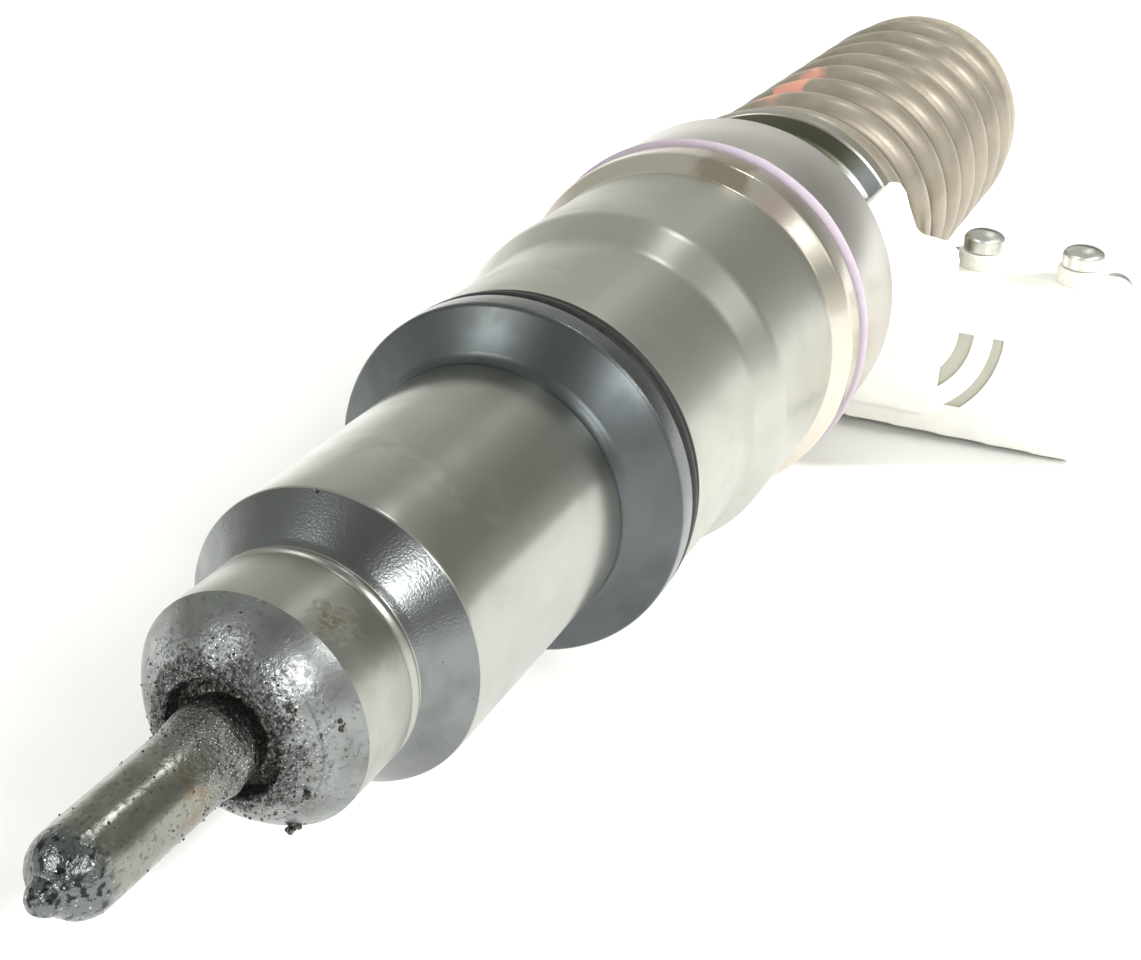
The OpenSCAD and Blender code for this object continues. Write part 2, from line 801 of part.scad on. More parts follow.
nozzle_body();
nozzle_needle();
needle_stop_plate();
needle_spring_seat();
nozzle_spring();
pressure_shim();
spring_cage();
adaptor_plate();
dowel_pins();
nozzle_cap_nut();
lower_o_ring();
upper_o_ring();
injector_body();
inlet_filters();
gallery_plugs();
plunger();
plunger_return_spring();
tappet();
plunger_keeper();
tappet_pad();
tappet_stop_pin();
control_valve();
valve_spring();
armature();
armature_screw();
armature_spacer();
spacer_seals();
stator_housing();
stator_core();
stator_coil();
clamp_plate();
stator_screws();
terminal_insulators();
terminal_screws();
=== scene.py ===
"""Looks of a diesel unit fuel injector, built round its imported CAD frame. Lengths below are in millimetres."""

import math
import random

import bmesh
import bpy
from mathutils import Matrix, Vector, noise


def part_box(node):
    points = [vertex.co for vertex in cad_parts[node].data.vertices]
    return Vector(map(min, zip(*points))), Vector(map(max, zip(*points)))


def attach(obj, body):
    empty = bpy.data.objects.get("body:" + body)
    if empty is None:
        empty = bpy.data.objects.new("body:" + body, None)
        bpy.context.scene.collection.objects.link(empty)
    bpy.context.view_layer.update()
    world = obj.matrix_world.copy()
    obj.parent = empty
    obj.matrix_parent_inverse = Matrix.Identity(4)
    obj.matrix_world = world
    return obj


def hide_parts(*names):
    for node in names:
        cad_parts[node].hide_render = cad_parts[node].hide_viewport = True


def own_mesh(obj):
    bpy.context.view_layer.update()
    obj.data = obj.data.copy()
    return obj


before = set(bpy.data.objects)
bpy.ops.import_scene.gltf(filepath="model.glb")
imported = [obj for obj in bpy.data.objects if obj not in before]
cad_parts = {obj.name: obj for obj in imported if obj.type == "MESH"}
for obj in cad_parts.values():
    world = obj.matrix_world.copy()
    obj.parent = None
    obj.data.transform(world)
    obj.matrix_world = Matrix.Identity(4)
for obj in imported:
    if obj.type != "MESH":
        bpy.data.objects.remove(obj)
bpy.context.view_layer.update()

MM = 0.001
SEGMENTS = 288
ARM_ROLL = math.radians(2.7)
NO_ROLL = Matrix.Identity(4)
ARM_FRAME = Matrix.Rotation(ARM_ROLL, 4, "X")


def corner_box(node):
    """Lowest and highest corner of a CAD node, in millimetres."""
    lo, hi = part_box(node)
    return lo / MM, hi / MM


# Stations and radii; the nut's two ends are read from its CAD node, the rest are given
nut_lo, nut_hi = corner_box("nozzle_cap_nut")

NUT_X = nut_lo.x
FLANGE_END = nut_hi.x
TIP_X = NUT_X - 17
TIP_R = 3.5
NIPPLE_X = TIP_X - 3.1
NIPPLE_R = 1.45
HOLE_R = 5.16
NOSE_R = 10.45
NOSE_X = NUT_X + 4.45
DOME_X = NOSE_X + 6.52
DOME_R = math.hypot(NOSE_R, DOME_X - NOSE_X)
GROOVE_X = NOSE_X + 7.2
CONE_X = NOSE_X + 8.95
BARREL_X = CONE_X + 3.1
NUT_R = 13.9
FLANGE_R = 18.8
LAND_1_X = FLANGE_END + 2.5
LAND_1_R = 18.4
CHAMFER_X = LAND_1_X + 17.95
LAND_2_X = CHAMFER_X + 4.7
LAND_2_R = 20.2
BAND_X = LAND_2_X + 18.2
LAND_3_X = BAND_X + 2.3
LAND_3_R = 21.9
RING_X = LAND_3_X + 5.3
RING_MID = 21.15
RING_SECTION = 1.2
SHOULDER_X = LAND_3_X + 18.8
NECK_X = SHOULDER_X + 3.1
NECK_R = 16
SEAT_X = NECK_X + 12.6
SEAT_R = 19.4
SPRING_X = SEAT_X + 3
TAPPET_X = SPRING_X + 79.6
SPRING_R = 18.7
WIRE_W = 6
WIRE_H = 6.6
GUIDE_R = 9
BORE_R = 5.03
BARREL_END = SPRING_X + 42.25
STOP_PIN_X = SPRING_X + 35.25
STROKE = 16
ARM_X = SEAT_X - 4.5
SPACER_X = ARM_X + 12
HOUSING_X = SPACER_X + 3
CLAMP_X = HOUSING_X + 11
CLAMP_END = CLAMP_X + 2.5
ARM_REACH = 48
ARM_BOTTOM = -20
STACK_W = 28.5
STACK_H = 17.4
STACK_TOP = ARM_BOTTOM + STACK_H
VALVE_Y = -ARM_REACH + STACK_W / 2
VALVE_Z = ARM_BOTTOM + STACK_H / 2
TERMINAL_X = HOUSING_X + 7.5
TERMINAL_Y = (-26.8, -40.7)
COLLAR_H = 2.2
FILTER_X = LAND_2_X + 5
FILTER_ANGLES = (20, -75)
PLUG_X = 15
FLOOR_Z = -(RING_MID + RING_SECTION)
FLOOR_HALF = 6000


def srgb(red, green, blue):
    """Linear colour of an 8-bit sRGB one."""
    return tuple((c / 255) ** 2.2 for c in (red, green, blue)) + (1.0,)


# ---- Procedural finishes ----


class Finish:
    """A node material that is built up in layers. Its coordinates are millimetres on the piece at rest."""

    def __init__(self, name, colour, rough, metal=1.0, anisotropic=0.0, specular=0.5):
        self.material = bpy.data.materials.new(name)
        self.material.use_nodes = True
        self.tree = self.material.node_tree
        self.shader = self.tree.nodes["Principled BSDF"]
        self.shader.inputs["Anisotropic"].default_value = anisotropic
        self.shader.inputs["Anisotropic Rotation"].default_value = 0.25
        self.shader.inputs["Specular IOR Level"].default_value = specular
        self.colour, self.rough, self.metal, self.normal = colour, rough, metal, None
        coords = self.add("ShaderNodeTexCoord").outputs["Object"]
        self.place = self.vector("SCALE", coords, Scale=1 / MM)
        parts = self.add("ShaderNodeSeparateXYZ", {0: self.place}).outputs
        self.x, self.y, self.z = parts[0], parts[1], parts[2]
        across = self.vector("MULTIPLY", self.place, (0, 1, 1))
        self.r = self.add("ShaderNodeVectorMath", {0: across}, operation="LENGTH").outputs["Value"]

    def add(self, kind, inputs=None, **settings):
        node = self.tree.nodes.new(kind)
        for key, value in settings.items():
            setattr(node, key, value)
        for key, value in (inputs or {}).items():
            self.feed(node.inputs[key], value)
        return node

    def feed(self, socket, value):
        if isinstance(value, bpy.types.NodeSocket):
            self.tree.links.new(value, socket)
        else:
            socket.default_value = value

    def vector(self, operation, a, b=None, **named):
        inputs = {0: a, **named}
        if b is not None:
            inputs[1] = b
        return self.add("ShaderNodeVectorMath", inputs, operation=operation).outputs["Vector"]

    def math(self, operation, a, b=0.0):
        return self.add("ShaderNodeMath", {0: a, 1: b}, operation=operation).outputs[0]

    def plus(self, a, b):
        return self.math("ADD", a, b)

    def times(self, a, b):
        return self.math("MULTIPLY", a, b)

    def ramp(self, value, low, high, to_low=0.0, to_high=1.0):
        """value from low to high, mapped smoothly to 0..1 or to the range given."""
        inputs = {"Value": value, "From Min": low, "From Max": high, "To Min": to_low, "To Max": to_high}
        return self.add("ShaderNodeMapRange", inputs, interpolation_type="SMOOTHSTEP").outputs[0]

    def bell(self, value, centre, width):
        """1 where value is at centre, falling to 0 at width either side."""
        return self.ramp(self.math("ABSOLUTE", self.math("SUBTRACT", value, centre)), width, 0.0)

    def noise(self, scale, detail=3.0, vector=None, rough=0.5):
        inputs = {"Vector": vector or self.place, "Scale": scale, "Detail": detail, "Roughness": rough}
        return self.add("ShaderNodeTexNoise", inputs).outputs[0]

    def cells(self, scale):
        """Distance to the nearest of scattered points."""
        return self.add("ShaderNodeTexVoronoi", {"Vector": self.place, "Scale": scale}).outputs["Distance"]

    def near(self, centre, inner, outer, ragged=0.0):
        """1 round a point, falling to 0 at the outer distance, with a ragged edge."""
        away = self.add("ShaderNodeVectorMath", {0: self.place, 1: centre}, operation="DISTANCE").outputs["Value"]
        if ragged:
            away = self.plus(away, self.times(self.plus(self.noise(0.9, 4.0), -0.5), ragged))
        return self.ramp(away, outer, inner)

    def angle(self):
        """Degrees round the axis, 90 at the top and 180 towards -Y."""
        return self.times(self.math("ARCTAN2", self.z, self.y), 180 / math.pi)

    def specks(self, scale, size, amount, spread=0.4):
        """Small scattered spots, gathered where a broad noise is high."""
        spots = self.ramp(self.cells(scale), size, size * 0.55)
        where = self.ramp(self.noise(spread, 2.0), 0.5 - amount, 0.72 - amount)
        return self.times(spots, where)

    def lanes(self, scale, detail=2.0):
        """Fine lines that a lathe tool leaves, round the axis on cylinders, faces and cones alike."""
        lane = self.plus(self.x, self.times(self.r, 1.37))
        wander = self.times(self.noise(0.05, 1.0), 0.2)
        line = self.add("ShaderNodeCombineXYZ", {0: self.times(self.plus(lane, wander), scale)}).outputs[0]
        return self.noise(1.0, detail, line, 0.6)

    def mix(self, a, b, share):
        node = self.add("ShaderNodeMix", data_type="RGBA")
        self.feed(node.inputs[0], share)
        self.feed(node.inputs[6], a)
        self.feed(node.inputs[7], b)
        return node.outputs[2]

    def blend(self, a, b, share):
        node = self.add("ShaderNodeMix", data_type="FLOAT")
        self.feed(node.inputs[0], share)
        self.feed(node.inputs[2], a)
        self.feed(node.inputs[3], b)
        return node.outputs[0]

    def layer(self, mask, colour=None, rough=None, metal=None):
        if colour is not None:
            self.colour = self.mix(self.colour, colour, mask)
        if rough is not None:
            self.rough = self.blend(self.rough, rough, mask)
        if metal is not None:
            self.metal = self.blend(self.metal, metal, mask)

    def bump(self, height, depth):
        """Relief of a height field; depth is in millimetres."""
        inputs = {"Height": height, "Distance": depth * MM, "Strength": 1.0}
        if self.normal is not None:
            inputs["Normal"] = self.normal
        self.normal = self.add("ShaderNodeBump", inputs).outputs[0]

    def done(self):
        self.feed(self.shader.inputs["Base Color"], self.colour)
        self.feed(self.shader.inputs["Roughness"], self.rough)
        self.feed(self.shader.inputs["Metallic"], self.metal)
        if self.normal is not None:
            self.feed(self.shader.inputs["Normal"], self.normal)
        if self.shader.inputs["Anisotropic"].default_value:
            tangent = self.add("ShaderNodeTangent", direction_type="RADIAL", axis="X").outputs[0]
            self.feed(self.shader.inputs["Tangent"], tangent)
        return self.material


def turned_steel(name, colour, rough, lane_scale=5.0, lane_depth=0.0012, anisotropic=0.35, shade=0.8):
    """Machined steel with lathe lines, clouded tone and faint marks; more layers may follow."""
    f = Finish(name, colour, rough, anisotropic=anisotropic)
    dark = tuple(c * shade for c in colour[:3]) + (1.0,)
    lines = f.lanes(lane_scale)
    cloud = f.noise(0.16, 4.0)
    f.layer(f.ramp(cloud, 0.42, 0.68), dark, rough + 0.05)
    f.layer(f.ramp(lines, 0.52, 0.72, 0.0, 0.3), dark, rough + 0.08)
    f.bump(lines, lane_depth)
    f.bump(f.noise(9.0, 2.0), lane_depth * 0.6)
    return f


STEEL = srgb(176, 177, 170)
SOOT = srgb(38, 38, 37)


def tip_finish():
    """Dark glossy stem with a brown tint, crusted towards the nut and pitted on its end."""
    f = Finish("nozzle_steel", srgb(140, 141, 133), 0.2)
    grain = f.noise(3.0, 4.0)
    f.layer(f.ramp(f.noise(0.5, 3.0), 0.4, 0.7), srgb(114, 115, 107), 0.25)
    f.layer(f.ramp(f.noise(2.4, 5.0), 0.56, 0.68, 0.0, 0.6), srgb(76, 77, 72), 0.42)
    heat = f.times(f.bell(f.plus(f.x, f.times(f.noise(0.5), 3.0)), -55.5, 3.4), f.ramp(f.y, -0.8, -2.6))
    f.layer(f.times(heat, f.ramp(f.noise(0.9, 4.0), 0.4, 0.6, 0.0, 0.7)), srgb(134, 110, 78), 0.34)
    f.layer(f.specks(1.9, 0.18, 0.0, 0.5), SOOT, 0.5, 0.3)
    edge = f.plus(f.x, f.times(f.noise(0.45, 3.0), 9.0))
    crust = f.ramp(edge, -54.5, -48.5)
    f.layer(crust, srgb(126, 128, 124), 0.3)
    f.layer(f.times(crust, f.ramp(grain, 0.54, 0.6)), srgb(56, 57, 55), 0.42, 0.6)
    # painted glints: bright dots scattered over the crust
    f.layer(f.times(crust, f.ramp(f.cells(3.6), 0.26, 0.16)), srgb(214, 216, 213), 0.16)
    dome = f.ramp(f.plus(f.x, f.times(f.noise(0.6, 2.0), 1.6)), -65.2, -66.8)
    f.layer(dome, srgb(112, 116, 115), 0.2)
    f.layer(f.times(dome, f.ramp(f.noise(1.5, 3.0), 0.5, 0.62)), srgb(52, 54, 54), 0.26)
    # painted glints: bright dots scattered over the pitted end
    f.layer(f.times(dome, f.ramp(f.cells(2.2), 0.2, 0.1)), srgb(205, 210, 212), 0.12)
    rugged = f.math("MAXIMUM", f.math("MAXIMUM", crust, f.times(dome, 0.6)), 0.1)
    f.bump(f.times(grain, rugged), 0.1)
    f.bump(f.times(f.noise(9.0, 3.0), rugged), 0.03)
    return f.done()


def nose_finish():
    """Blue-grey dome with fine dust and bright dots of painted glints, with carbon caked round the hole."""
    f = Finish("nose_steel", srgb(148, 151, 150), 0.3)
    f.layer(f.ramp(f.noise(0.3, 4.0), 0.3, 0.7), srgb(122, 124, 122), 0.36)
    f.layer(f.ramp(f.noise(1.6, 5.0), 0.54, 0.66, 0.0, 0.6), srgb(104, 106, 104), 0.42)
    # painted glints: bright dots scattered where a broad noise is high
    f.layer(f.times(f.ramp(f.cells(2.6), 0.16, 0.08), f.ramp(f.noise(0.4), 0.4, 0.6)), srgb(224, 226, 226), 0.14)
    grain = f.noise(2.8, 4.0)
    f.layer(f.times(f.bell(f.r, 8.1, 0.16), 0.45), srgb(88, 91, 92), 0.4)
    reach = f.plus(f.r, f.times(f.noise(0.5, 3.0), 5.0))
    dusted = f.ramp(reach, 12.6, 9.6)
    caked = f.ramp(reach, 9.7, 8.6)
    f.layer(f.times(dusted, f.ramp(grain, 0.56, 0.63, 0.0, 0.8)), srgb(62, 64, 64), 0.4, 0.7)
    # painted glints: bright dots among the dust
    f.layer(f.times(dusted, f.ramp(f.cells(3.2), 0.2, 0.12)), srgb(214, 218, 221), 0.14)
    f.layer(caked, srgb(98, 100, 99), 0.34)
    f.layer(f.times(caked, f.ramp(grain, 0.48, 0.56)), SOOT, 0.42, 0.4)
    # painted glints: bright dots on the caked carbon
    f.layer(f.times(caked, f.ramp(f.cells(3.6), 0.24, 0.14)), srgb(190, 193, 193), 0.18)
    rugged = f.math("MAXIMUM", f.math("MAXIMUM", f.times(dusted, 0.55), caked), 0.16)
    f.bump(f.times(grain, rugged), 0.1)
    f.bump(f.times(f.noise(6.5, 3.0), rugged), 0.05)
    return f.done()


def pilot_finish():
    """Short cylinder behind the nose, brushed round, with one brown stain and a little grit on it."""
    f = turned_steel("pilot_steel", srgb(172, 173, 166), 0.3, lane_scale=7.0, lane_depth=0.002)
    stain = f.near((-43.1, -6.4, 8.2), 0.9, 2.6, 5.0)
    f.layer(f.times(stain, f.ramp(f.noise(1.6, 5.0), 0.38, 0.52)), srgb(98, 94, 80), 0.42, 0.7)
    # painted glints: bright dots within the stain
    f.layer(f.times(stain, f.ramp(f.cells(3.4), 0.16, 0.08)), srgb(216, 216, 210), 0.2)
    tint = f.times(f.near((-40.5, -8.5, 6.0), 1.0, 3.6, 3.0), 0.6)
    f.layer(tint, srgb(140, 136, 122), 0.34)
    f.layer(f.specks(1.3, 0.1, -0.03), srgb(84, 80, 70), 0.5)
    return f.done()


def cone_finish():
    """Polished sealing cone, finely scratched."""
    f = turned_steel("cone_steel", srgb(128, 131, 131), 0.22, lane_scale=9.0, lane_depth=0.0009, anisotropic=0.0)
    f.layer(f.ramp(f.noise(0.35, 5.0), 0.35, 0.75), srgb(114, 117, 116), 0.27)
    f.bump(f.noise(4.5, 4.0), 0.02)
    f.layer(f.specks(1.3, 0.12, 0.0), SOOT, 0.5, 0.5)
    return f.done()


def barrel_finish():
    f = turned_steel("barrel_steel", STEEL, 0.2, lane_scale=4.0, lane_depth=0.0002, shade=0.95)
    scuff = f.times(f.ramp(f.noise(0.3, 2.0), 0.42, 0.62), f.times(f.bell(f.x, -24.0, 6.0), f.ramp(f.z, 4.0, 11.0)))
    f.layer(f.times(scuff, 0.3), srgb(206, 208, 204), 0.26)
    f.layer(f.specks(0.8, 0.05, -0.05), srgb(96, 94, 84), 0.5)
    return f.done()


def flange_finish():
    f = turned_steel("flange_steel", srgb(98, 103, 104), 0.36, lane_scale=6.0, lane_depth=0.0004)
    f.layer(f.ramp(f.noise(0.2, 3.0), 0.5, 0.7), srgb(94, 98, 98), 0.4)
    return f.done()


def body_finish():
    """Ground lands, a bronze heat tint where the upper land begins with a brown and a pink stretch of painted
    reflection on it, a neck darkened with painted shade and lit by a painted highlight, and painted shade on the
    front edge of the first land.
    """
    f = turned_steel("body_steel", srgb(190, 190, 182), 0.31, lane_scale=3.0, lane_depth=0.0008, shade=0.94)
    angle = f.plus(f.angle(), f.times(f.plus(f.noise(0.25, 2.0), -0.5), 14.0))
    band = f.times(f.ramp(f.x, BAND_X - 0.9, BAND_X + 0.3), f.ramp(f.x, RING_X - 1.4, RING_X - 2.2))
    f.layer(band, srgb(214, 207, 194), 0.2)
    # painted reflection: a brown stretch and a pink stretch round the band, placed by angle about the axis
    brown = f.bell(angle, 104.0, 13.0)
    f.layer(f.times(band, f.ramp(brown, 0.0, 0.5)), srgb(178, 166, 150), 0.2)
    pink = f.bell(angle, 126.0, 9.0)
    f.layer(f.times(band, pink), srgb(216, 198, 188), 0.2)
    beyond = f.ramp(f.x, RING_X - 1.0, RING_X)
    f.layer(beyond, srgb(206, 202, 196), 0.28)
    # painted shade: the recessed neck and the seat's front face darkened
    neck = f.times(f.times(f.ramp(f.x, NECK_X - 1.3, NECK_X - 0.8), f.ramp(f.x, SEAT_X + 0.4, SEAT_X + 0.2)),
                   f.ramp(f.r, SEAT_R - 0.1, SEAT_R - 0.5))
    f.layer(neck, srgb(130, 130, 115), 0.42)
    # painted highlight: a lighter blue-grey stretch on the dark neck, placed by angle
    f.layer(f.times(neck, f.ramp(angle, 124.0, 138.0)), srgb(184, 187, 187), 0.36)
    f.layer(f.ramp(f.x, SEAT_X + 0.1, SEAT_X + 0.4), srgb(178, 175, 163), 0.42)
    # painted shade: the front edge of the first land, beside the lower O-ring, darkened
    f.layer(f.ramp(f.x, LAND_1_X + 0.55, LAND_1_X + 0.3), srgb(48, 48, 46), 0.5, 0.4)
    f.layer(f.specks(0.7, 0.06, -0.05), srgb(120, 114, 98), 0.5)
    return f.done()


def plain_steel(name, colour, rough):
    f = turned_steel(name, colour, rough, lane_scale=4.0)
    f.layer(f.specks(0.9, 0.12, 0.0), srgb(84, 80, 72), 0.5)
    return f.done()


def spring_finish():
    """Oiled brown-grey wire with a daub of red marking paint near its first coils."""
    f = Finish("spring_steel", srgb(164, 155, 141), 0.36, metal=0.7)
    f.layer(f.ramp(f.noise(0.2, 3.0), 0.4, 0.7), srgb(150, 141, 126), 0.4)
    f.layer(f.ramp(f.noise(1.2, 5.0), 0.64, 0.76, 0.0, 0.35), srgb(110, 99, 84), 0.5, 0.3)
    # painted shade: the inner side of the coils, towards the spring's hollow, darker
    f.layer(f.ramp(f.r, SPRING_R - 1.0, SPRING_R - 2.6), srgb(116, 108, 92), 0.5, 0.4)
    ragged = f.times(f.plus(f.noise(0.4, 3.0), -0.5), 14.0)
    paint = f.times(f.bell(f.plus(f.angle(), ragged), 74.0, 9.0), f.bell(f.plus(f.x, ragged), 108.0, 14.0))
    paint = f.times(f.ramp(paint, 0.0, 0.3, 0.0, 0.85), f.ramp(f.r, SPRING_R - 2.6, SPRING_R - 1.4))
    f.layer(paint, srgb(208, 142, 122), 0.5, 0.0)
    return f.done()


def rubber(name, colour, rough, lift=1.5):
    f = Finish(name, colour, rough, metal=0.0, specular=0.5)
    light = tuple(min(1.0, c * lift + 0.004) for c in colour[:3]) + (1.0,)
    f.layer(f.ramp(f.noise(1.1, 4.0), 0.45, 0.7), light, rough + 0.08)
    f.bump(f.noise(6.0, 3.0), 0.006)
    return f.done()


def bright_casting(name, colour):
    f = Finish(name, colour, 0.36, metal=0.35)
    f.layer(f.ramp(f.noise(0.25, 5.0), 0.45, 0.7), tuple(c * 0.94 for c in colour[:3]) + (1.0,), 0.42)
    f.layer(f.specks(0.9, 0.07, -0.03), srgb(176, 170, 150), 0.55)
    # painted shade: the floors of the two relief grooves on the arm's front face darkened
    groove_shade = f.times(f.bell(f.x, ARM_X + 0.45, 0.35), f.times(f.bell(f.y, -31.5, 8.0), f.bell(f.z, -11.0, 8.5)))
    f.layer(f.ramp(groove_shade, 0.0, 0.1, 0.0, 0.7), srgb(170, 167, 148), 0.6, 0.2)
    f.bump(f.noise(1.8, 4.0), 0.02)
    f.bump(f.noise(7.0, 2.0), 0.006)
    return f.done()


def matte(name, colour, rough, metal=0.0, grain=2.0):
    f = Finish(name, colour, rough, metal=metal)
    f.layer(f.ramp(f.noise(grain, 4.0), 0.4, 0.7), tuple(c * 0.88 for c in colour[:3]) + (1.0,), rough + 0.08)
    f.bump(f.noise(grain * 4, 3.0), 0.01)
    return f.done()


def soot_finish():
    f = Finish("carbon", srgb(48, 48, 46), 0.4, metal=0.3)
    f.layer(f.ramp(f.noise(4.0, 3.0), 0.5, 0.62), srgb(120, 118, 110), 0.25)
    f.bump(f.noise(7.0, 3.0), 0.03)
    return f.done()


tip_steel = tip_finish()
nose_steel = nose_finish()
pilot_steel = pilot_finish()
cone_steel = cone_finish()
barrel_steel = barrel_finish()
flange_steel = flange_finish()
body_steel = body_finish()
ground_steel = plain_steel("ground_steel", srgb(205, 206, 207), 0.24)
tappet_steel = matte("tappet_steel", srgb(172, 163, 147), 0.5, metal=0.5, grain=0.8)
wire_steel = spring_finish()
small_wire = matte("small_spring", srgb(120, 118, 112), 0.4, metal=0.9)
black_rubber = rubber("black_rubber", srgb(20, 21, 20), 0.45)
violet_rubber = rubber("violet_rubber", srgb(164, 152, 163), 0.5, 1.06)
filter_mesh = matte("filter_mesh", srgb(196, 164, 104), 0.4, metal=0.9)
core_iron = matte("core_iron", srgb(92, 92, 96), 0.5, metal=0.8)
stack_metal = bright_casting("stack_metal", srgb(251, 250, 243))
copper = matte("copper_winding", srgb(172, 96, 50), 0.35, metal=0.6)
screw_steel = plain_steel("screw_steel", srgb(226, 226, 220), 0.34)
insulator = matte("insulator_plastic", srgb(246, 243, 232), 0.5)
carbon = soot_finish()

# ---- Mesh helpers ----


def mesh_piece(name, points, faces, materials, face_slots=None, turn=NO_ROLL):
    """A mesh from points in millimetres, set down in the row frame in metres."""
    mesh = bpy.data.meshes.new(name)
    mesh.from_pydata([turn @ (Vector(p) * MM) for p in points], [], faces)
    for material in materials:
        mesh.materials.append(material)
    if face_slots:
        mesh.polygons.foreach_set("material_index", face_slots)
    mesh.validate()
    mesh.update()
    piece = bpy.data.objects.new(name, mesh)
    bpy.context.scene.collection.objects.link(piece)
    return piece


def smooth(piece, sharp=32):
    piece.data.shade_smooth()
    piece.data.set_sharp_from_angle(angle=math.radians(sharp))
    return piece


def settle(piece):
    """Turns a piece's modifiers into its mesh."""
    graph = bpy.context.evaluated_depsgraph_get()
    mesh = bpy.data.meshes.new_from_object(piece.evaluated_get(graph))
    piece.modifiers.clear()
    piece.data = mesh
    return piece


def combine(piece, operation, *others):
    """Cuts the others from the piece, or joins them to it, and drops them."""
    for other in others:
        tool = piece.modifiers.new("combine", "BOOLEAN")
        tool.operation = operation
        tool.solver = "MANIFOLD"
        tool.object = other
    settle(piece)
    for other in others:
        bpy.data.objects.remove(other)
    return piece


def bevel(piece, width):
    tool = piece.modifiers.new("bevel", "BEVEL")
    tool.width = width * MM
    tool.segments = 3
    tool.limit_method = "ANGLE"
    tool.angle_limit = math.radians(35)
    return settle(piece)


def place(piece, body, nodes=()):
    """Hangs a finished piece on a CAD body, for the nodes that it stands for."""
    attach(piece, body)
    if nodes:
        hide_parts(*nodes)
    return piece


def arc(cx, cy, rx, ry, start, end, steps=8):
    """Points of an elliptic arc, angles in degrees."""
    turns = [math.radians(start + (end - start) * i / steps) for i in range(steps + 1)]
    return [(cx + rx * math.cos(a), cy + ry * math.sin(a)) for a in turns]


def eased(corners, steps=4):
    """Outline through (a, b, ease) corners, each rounded by a short curve of about that size."""
    points = []
    for i, (a, b, *ease) in enumerate(corners):
        here = Vector((a, b))
        if not ease or i in (0, len(corners) - 1):
            points.append((a, b))
            continue
        back = Vector(corners[i - 1][:2]) - here
        on = Vector(corners[i + 1][:2]) - here
        size = min(ease[0], 0.45 * back.length, 0.45 * on.length)
        start, end = here + back.normalized() * size, here + on.normalized() * size
        for k in range(steps + 1):
            t = k / steps
            points.append(tuple(start * (1 - t) ** 2 + here * (2 * t * (1 - t)) + end * t * t))
    return points


def divided(points, step):
    """The outline with no stretch longer than step."""
    fine = [points[0]]
    for a, b in zip(points, points[1:]):
        n = max(1, math.ceil(math.dist(a, b) / step))
        fine += [(a[0] + (b[0] - a[0]) * i / n, a[1] + (b[1] - a[1]) * i / n) for i in range(1, n + 1)]
    return fine


def lathe(name, outline, materials, paint=None, closed=False, segments=SEGMENTS, turn=NO_ROLL, y=0.0, z=0.0):
    """Turns an outline of (station, radius) about X. paint(station, radius) picks a face's material."""
    points, rings = [], []
    for x, r in outline:
        if r < 1e-6:
            rings.append([len(points)] * segments)
            points.append((x, y, z))
            continue
        rings.append(list(range(len(points), len(points) + segments)))
        for k in range(segments):
            a = 2 * math.pi * k / segments
            points.append((x, y + r * math.cos(a), z + r * math.sin(a)))
    pairs = list(zip(range(len(outline)), range(1, len(outline))))
    if closed:
        pairs.append((len(outline) - 1, 0))
    faces, slots = [], []
    for i, j in pairs:
        x = (outline[i][0] + outline[j][0]) / 2
        r = (outline[i][1] + outline[j][1]) / 2
        slot = paint(x, r) if paint else 0
        for k in range(segments):
            m = (k + 1) % segments
            face = [rings[i][k], rings[i][m], rings[j][m], rings[j][k]]
            faces.append(list(dict.fromkeys(face)))
            slots.append(slot)
    return mesh_piece(name, points, faces, materials, slots, turn)


def outward(piece):
    """Turns every face of a closed piece to face out."""
    work = bmesh.new()
    work.from_mesh(piece.data)
    bmesh.ops.recalc_face_normals(work, faces=work.faces)
    work.to_mesh(piece.data)
    work.free()
    return piece


def bar(start, end, radius, sides=48, turn=NO_ROLL):
    """A plain round or six-sided bar between two points, as a cutter or a blank."""
    a, b = Vector(start), Vector(end)
    along = (b - a).normalized()
    side = along.orthogonal().normalized()
    other = along.cross(side)
    points = []
    for end_point in (a, b):
        for k in range(sides):
            t = 2 * math.pi * k / sides
            points.append(end_point + (side * math.cos(t) + other * math.sin(t)) * radius)
    faces = [[k, (k + 1) % sides, sides + (k + 1) % sides, sides + k] for k in range(sides)]
    faces += [list(range(sides - 1, -1, -1)), list(range(sides, 2 * sides))]
    return outward(mesh_piece("bar", points, faces, [], turn=turn))


def prism(name, x0, x1, outline, materials, turn=ARM_FRAME):
    """An outline in Y and Z, drawn out along X."""
    n = len(outline)
    points = [(x, y, z) for x in (x0, x1) for y, z in outline]
    faces = [[k, (k + 1) % n, n + (k + 1) % n, n + k] for k in range(n)]
    faces += [list(range(n - 1, -1, -1)), list(range(n, 2 * n))]
    return outward(mesh_piece(name, points, faces, materials, turn=turn))


def rounded_box(y0, z0, y1, z1, r, steps=8):
    corners = ((y1 - r, z1 - r, 0), (y0 + r, z1 - r, 90), (y0 + r, z0 + r, 180), (y1 - r, z0 + r, 270))
    return [p for cy, cz, a in corners for p in arc(cy, cz, r, r, a, a + 90, steps)]


def roughen(piece, depth):
    """Moves each point along its normal by depth(point), both in millimetres."""
    mesh = piece.data
    normals = [v.normal.copy() for v in mesh.vertices]
    for vertex, normal in zip(mesh.vertices, normals):
        vertex.co += normal * depth(vertex.co / MM) * MM
    mesh.update()
    return piece


# ---- Nozzle ----


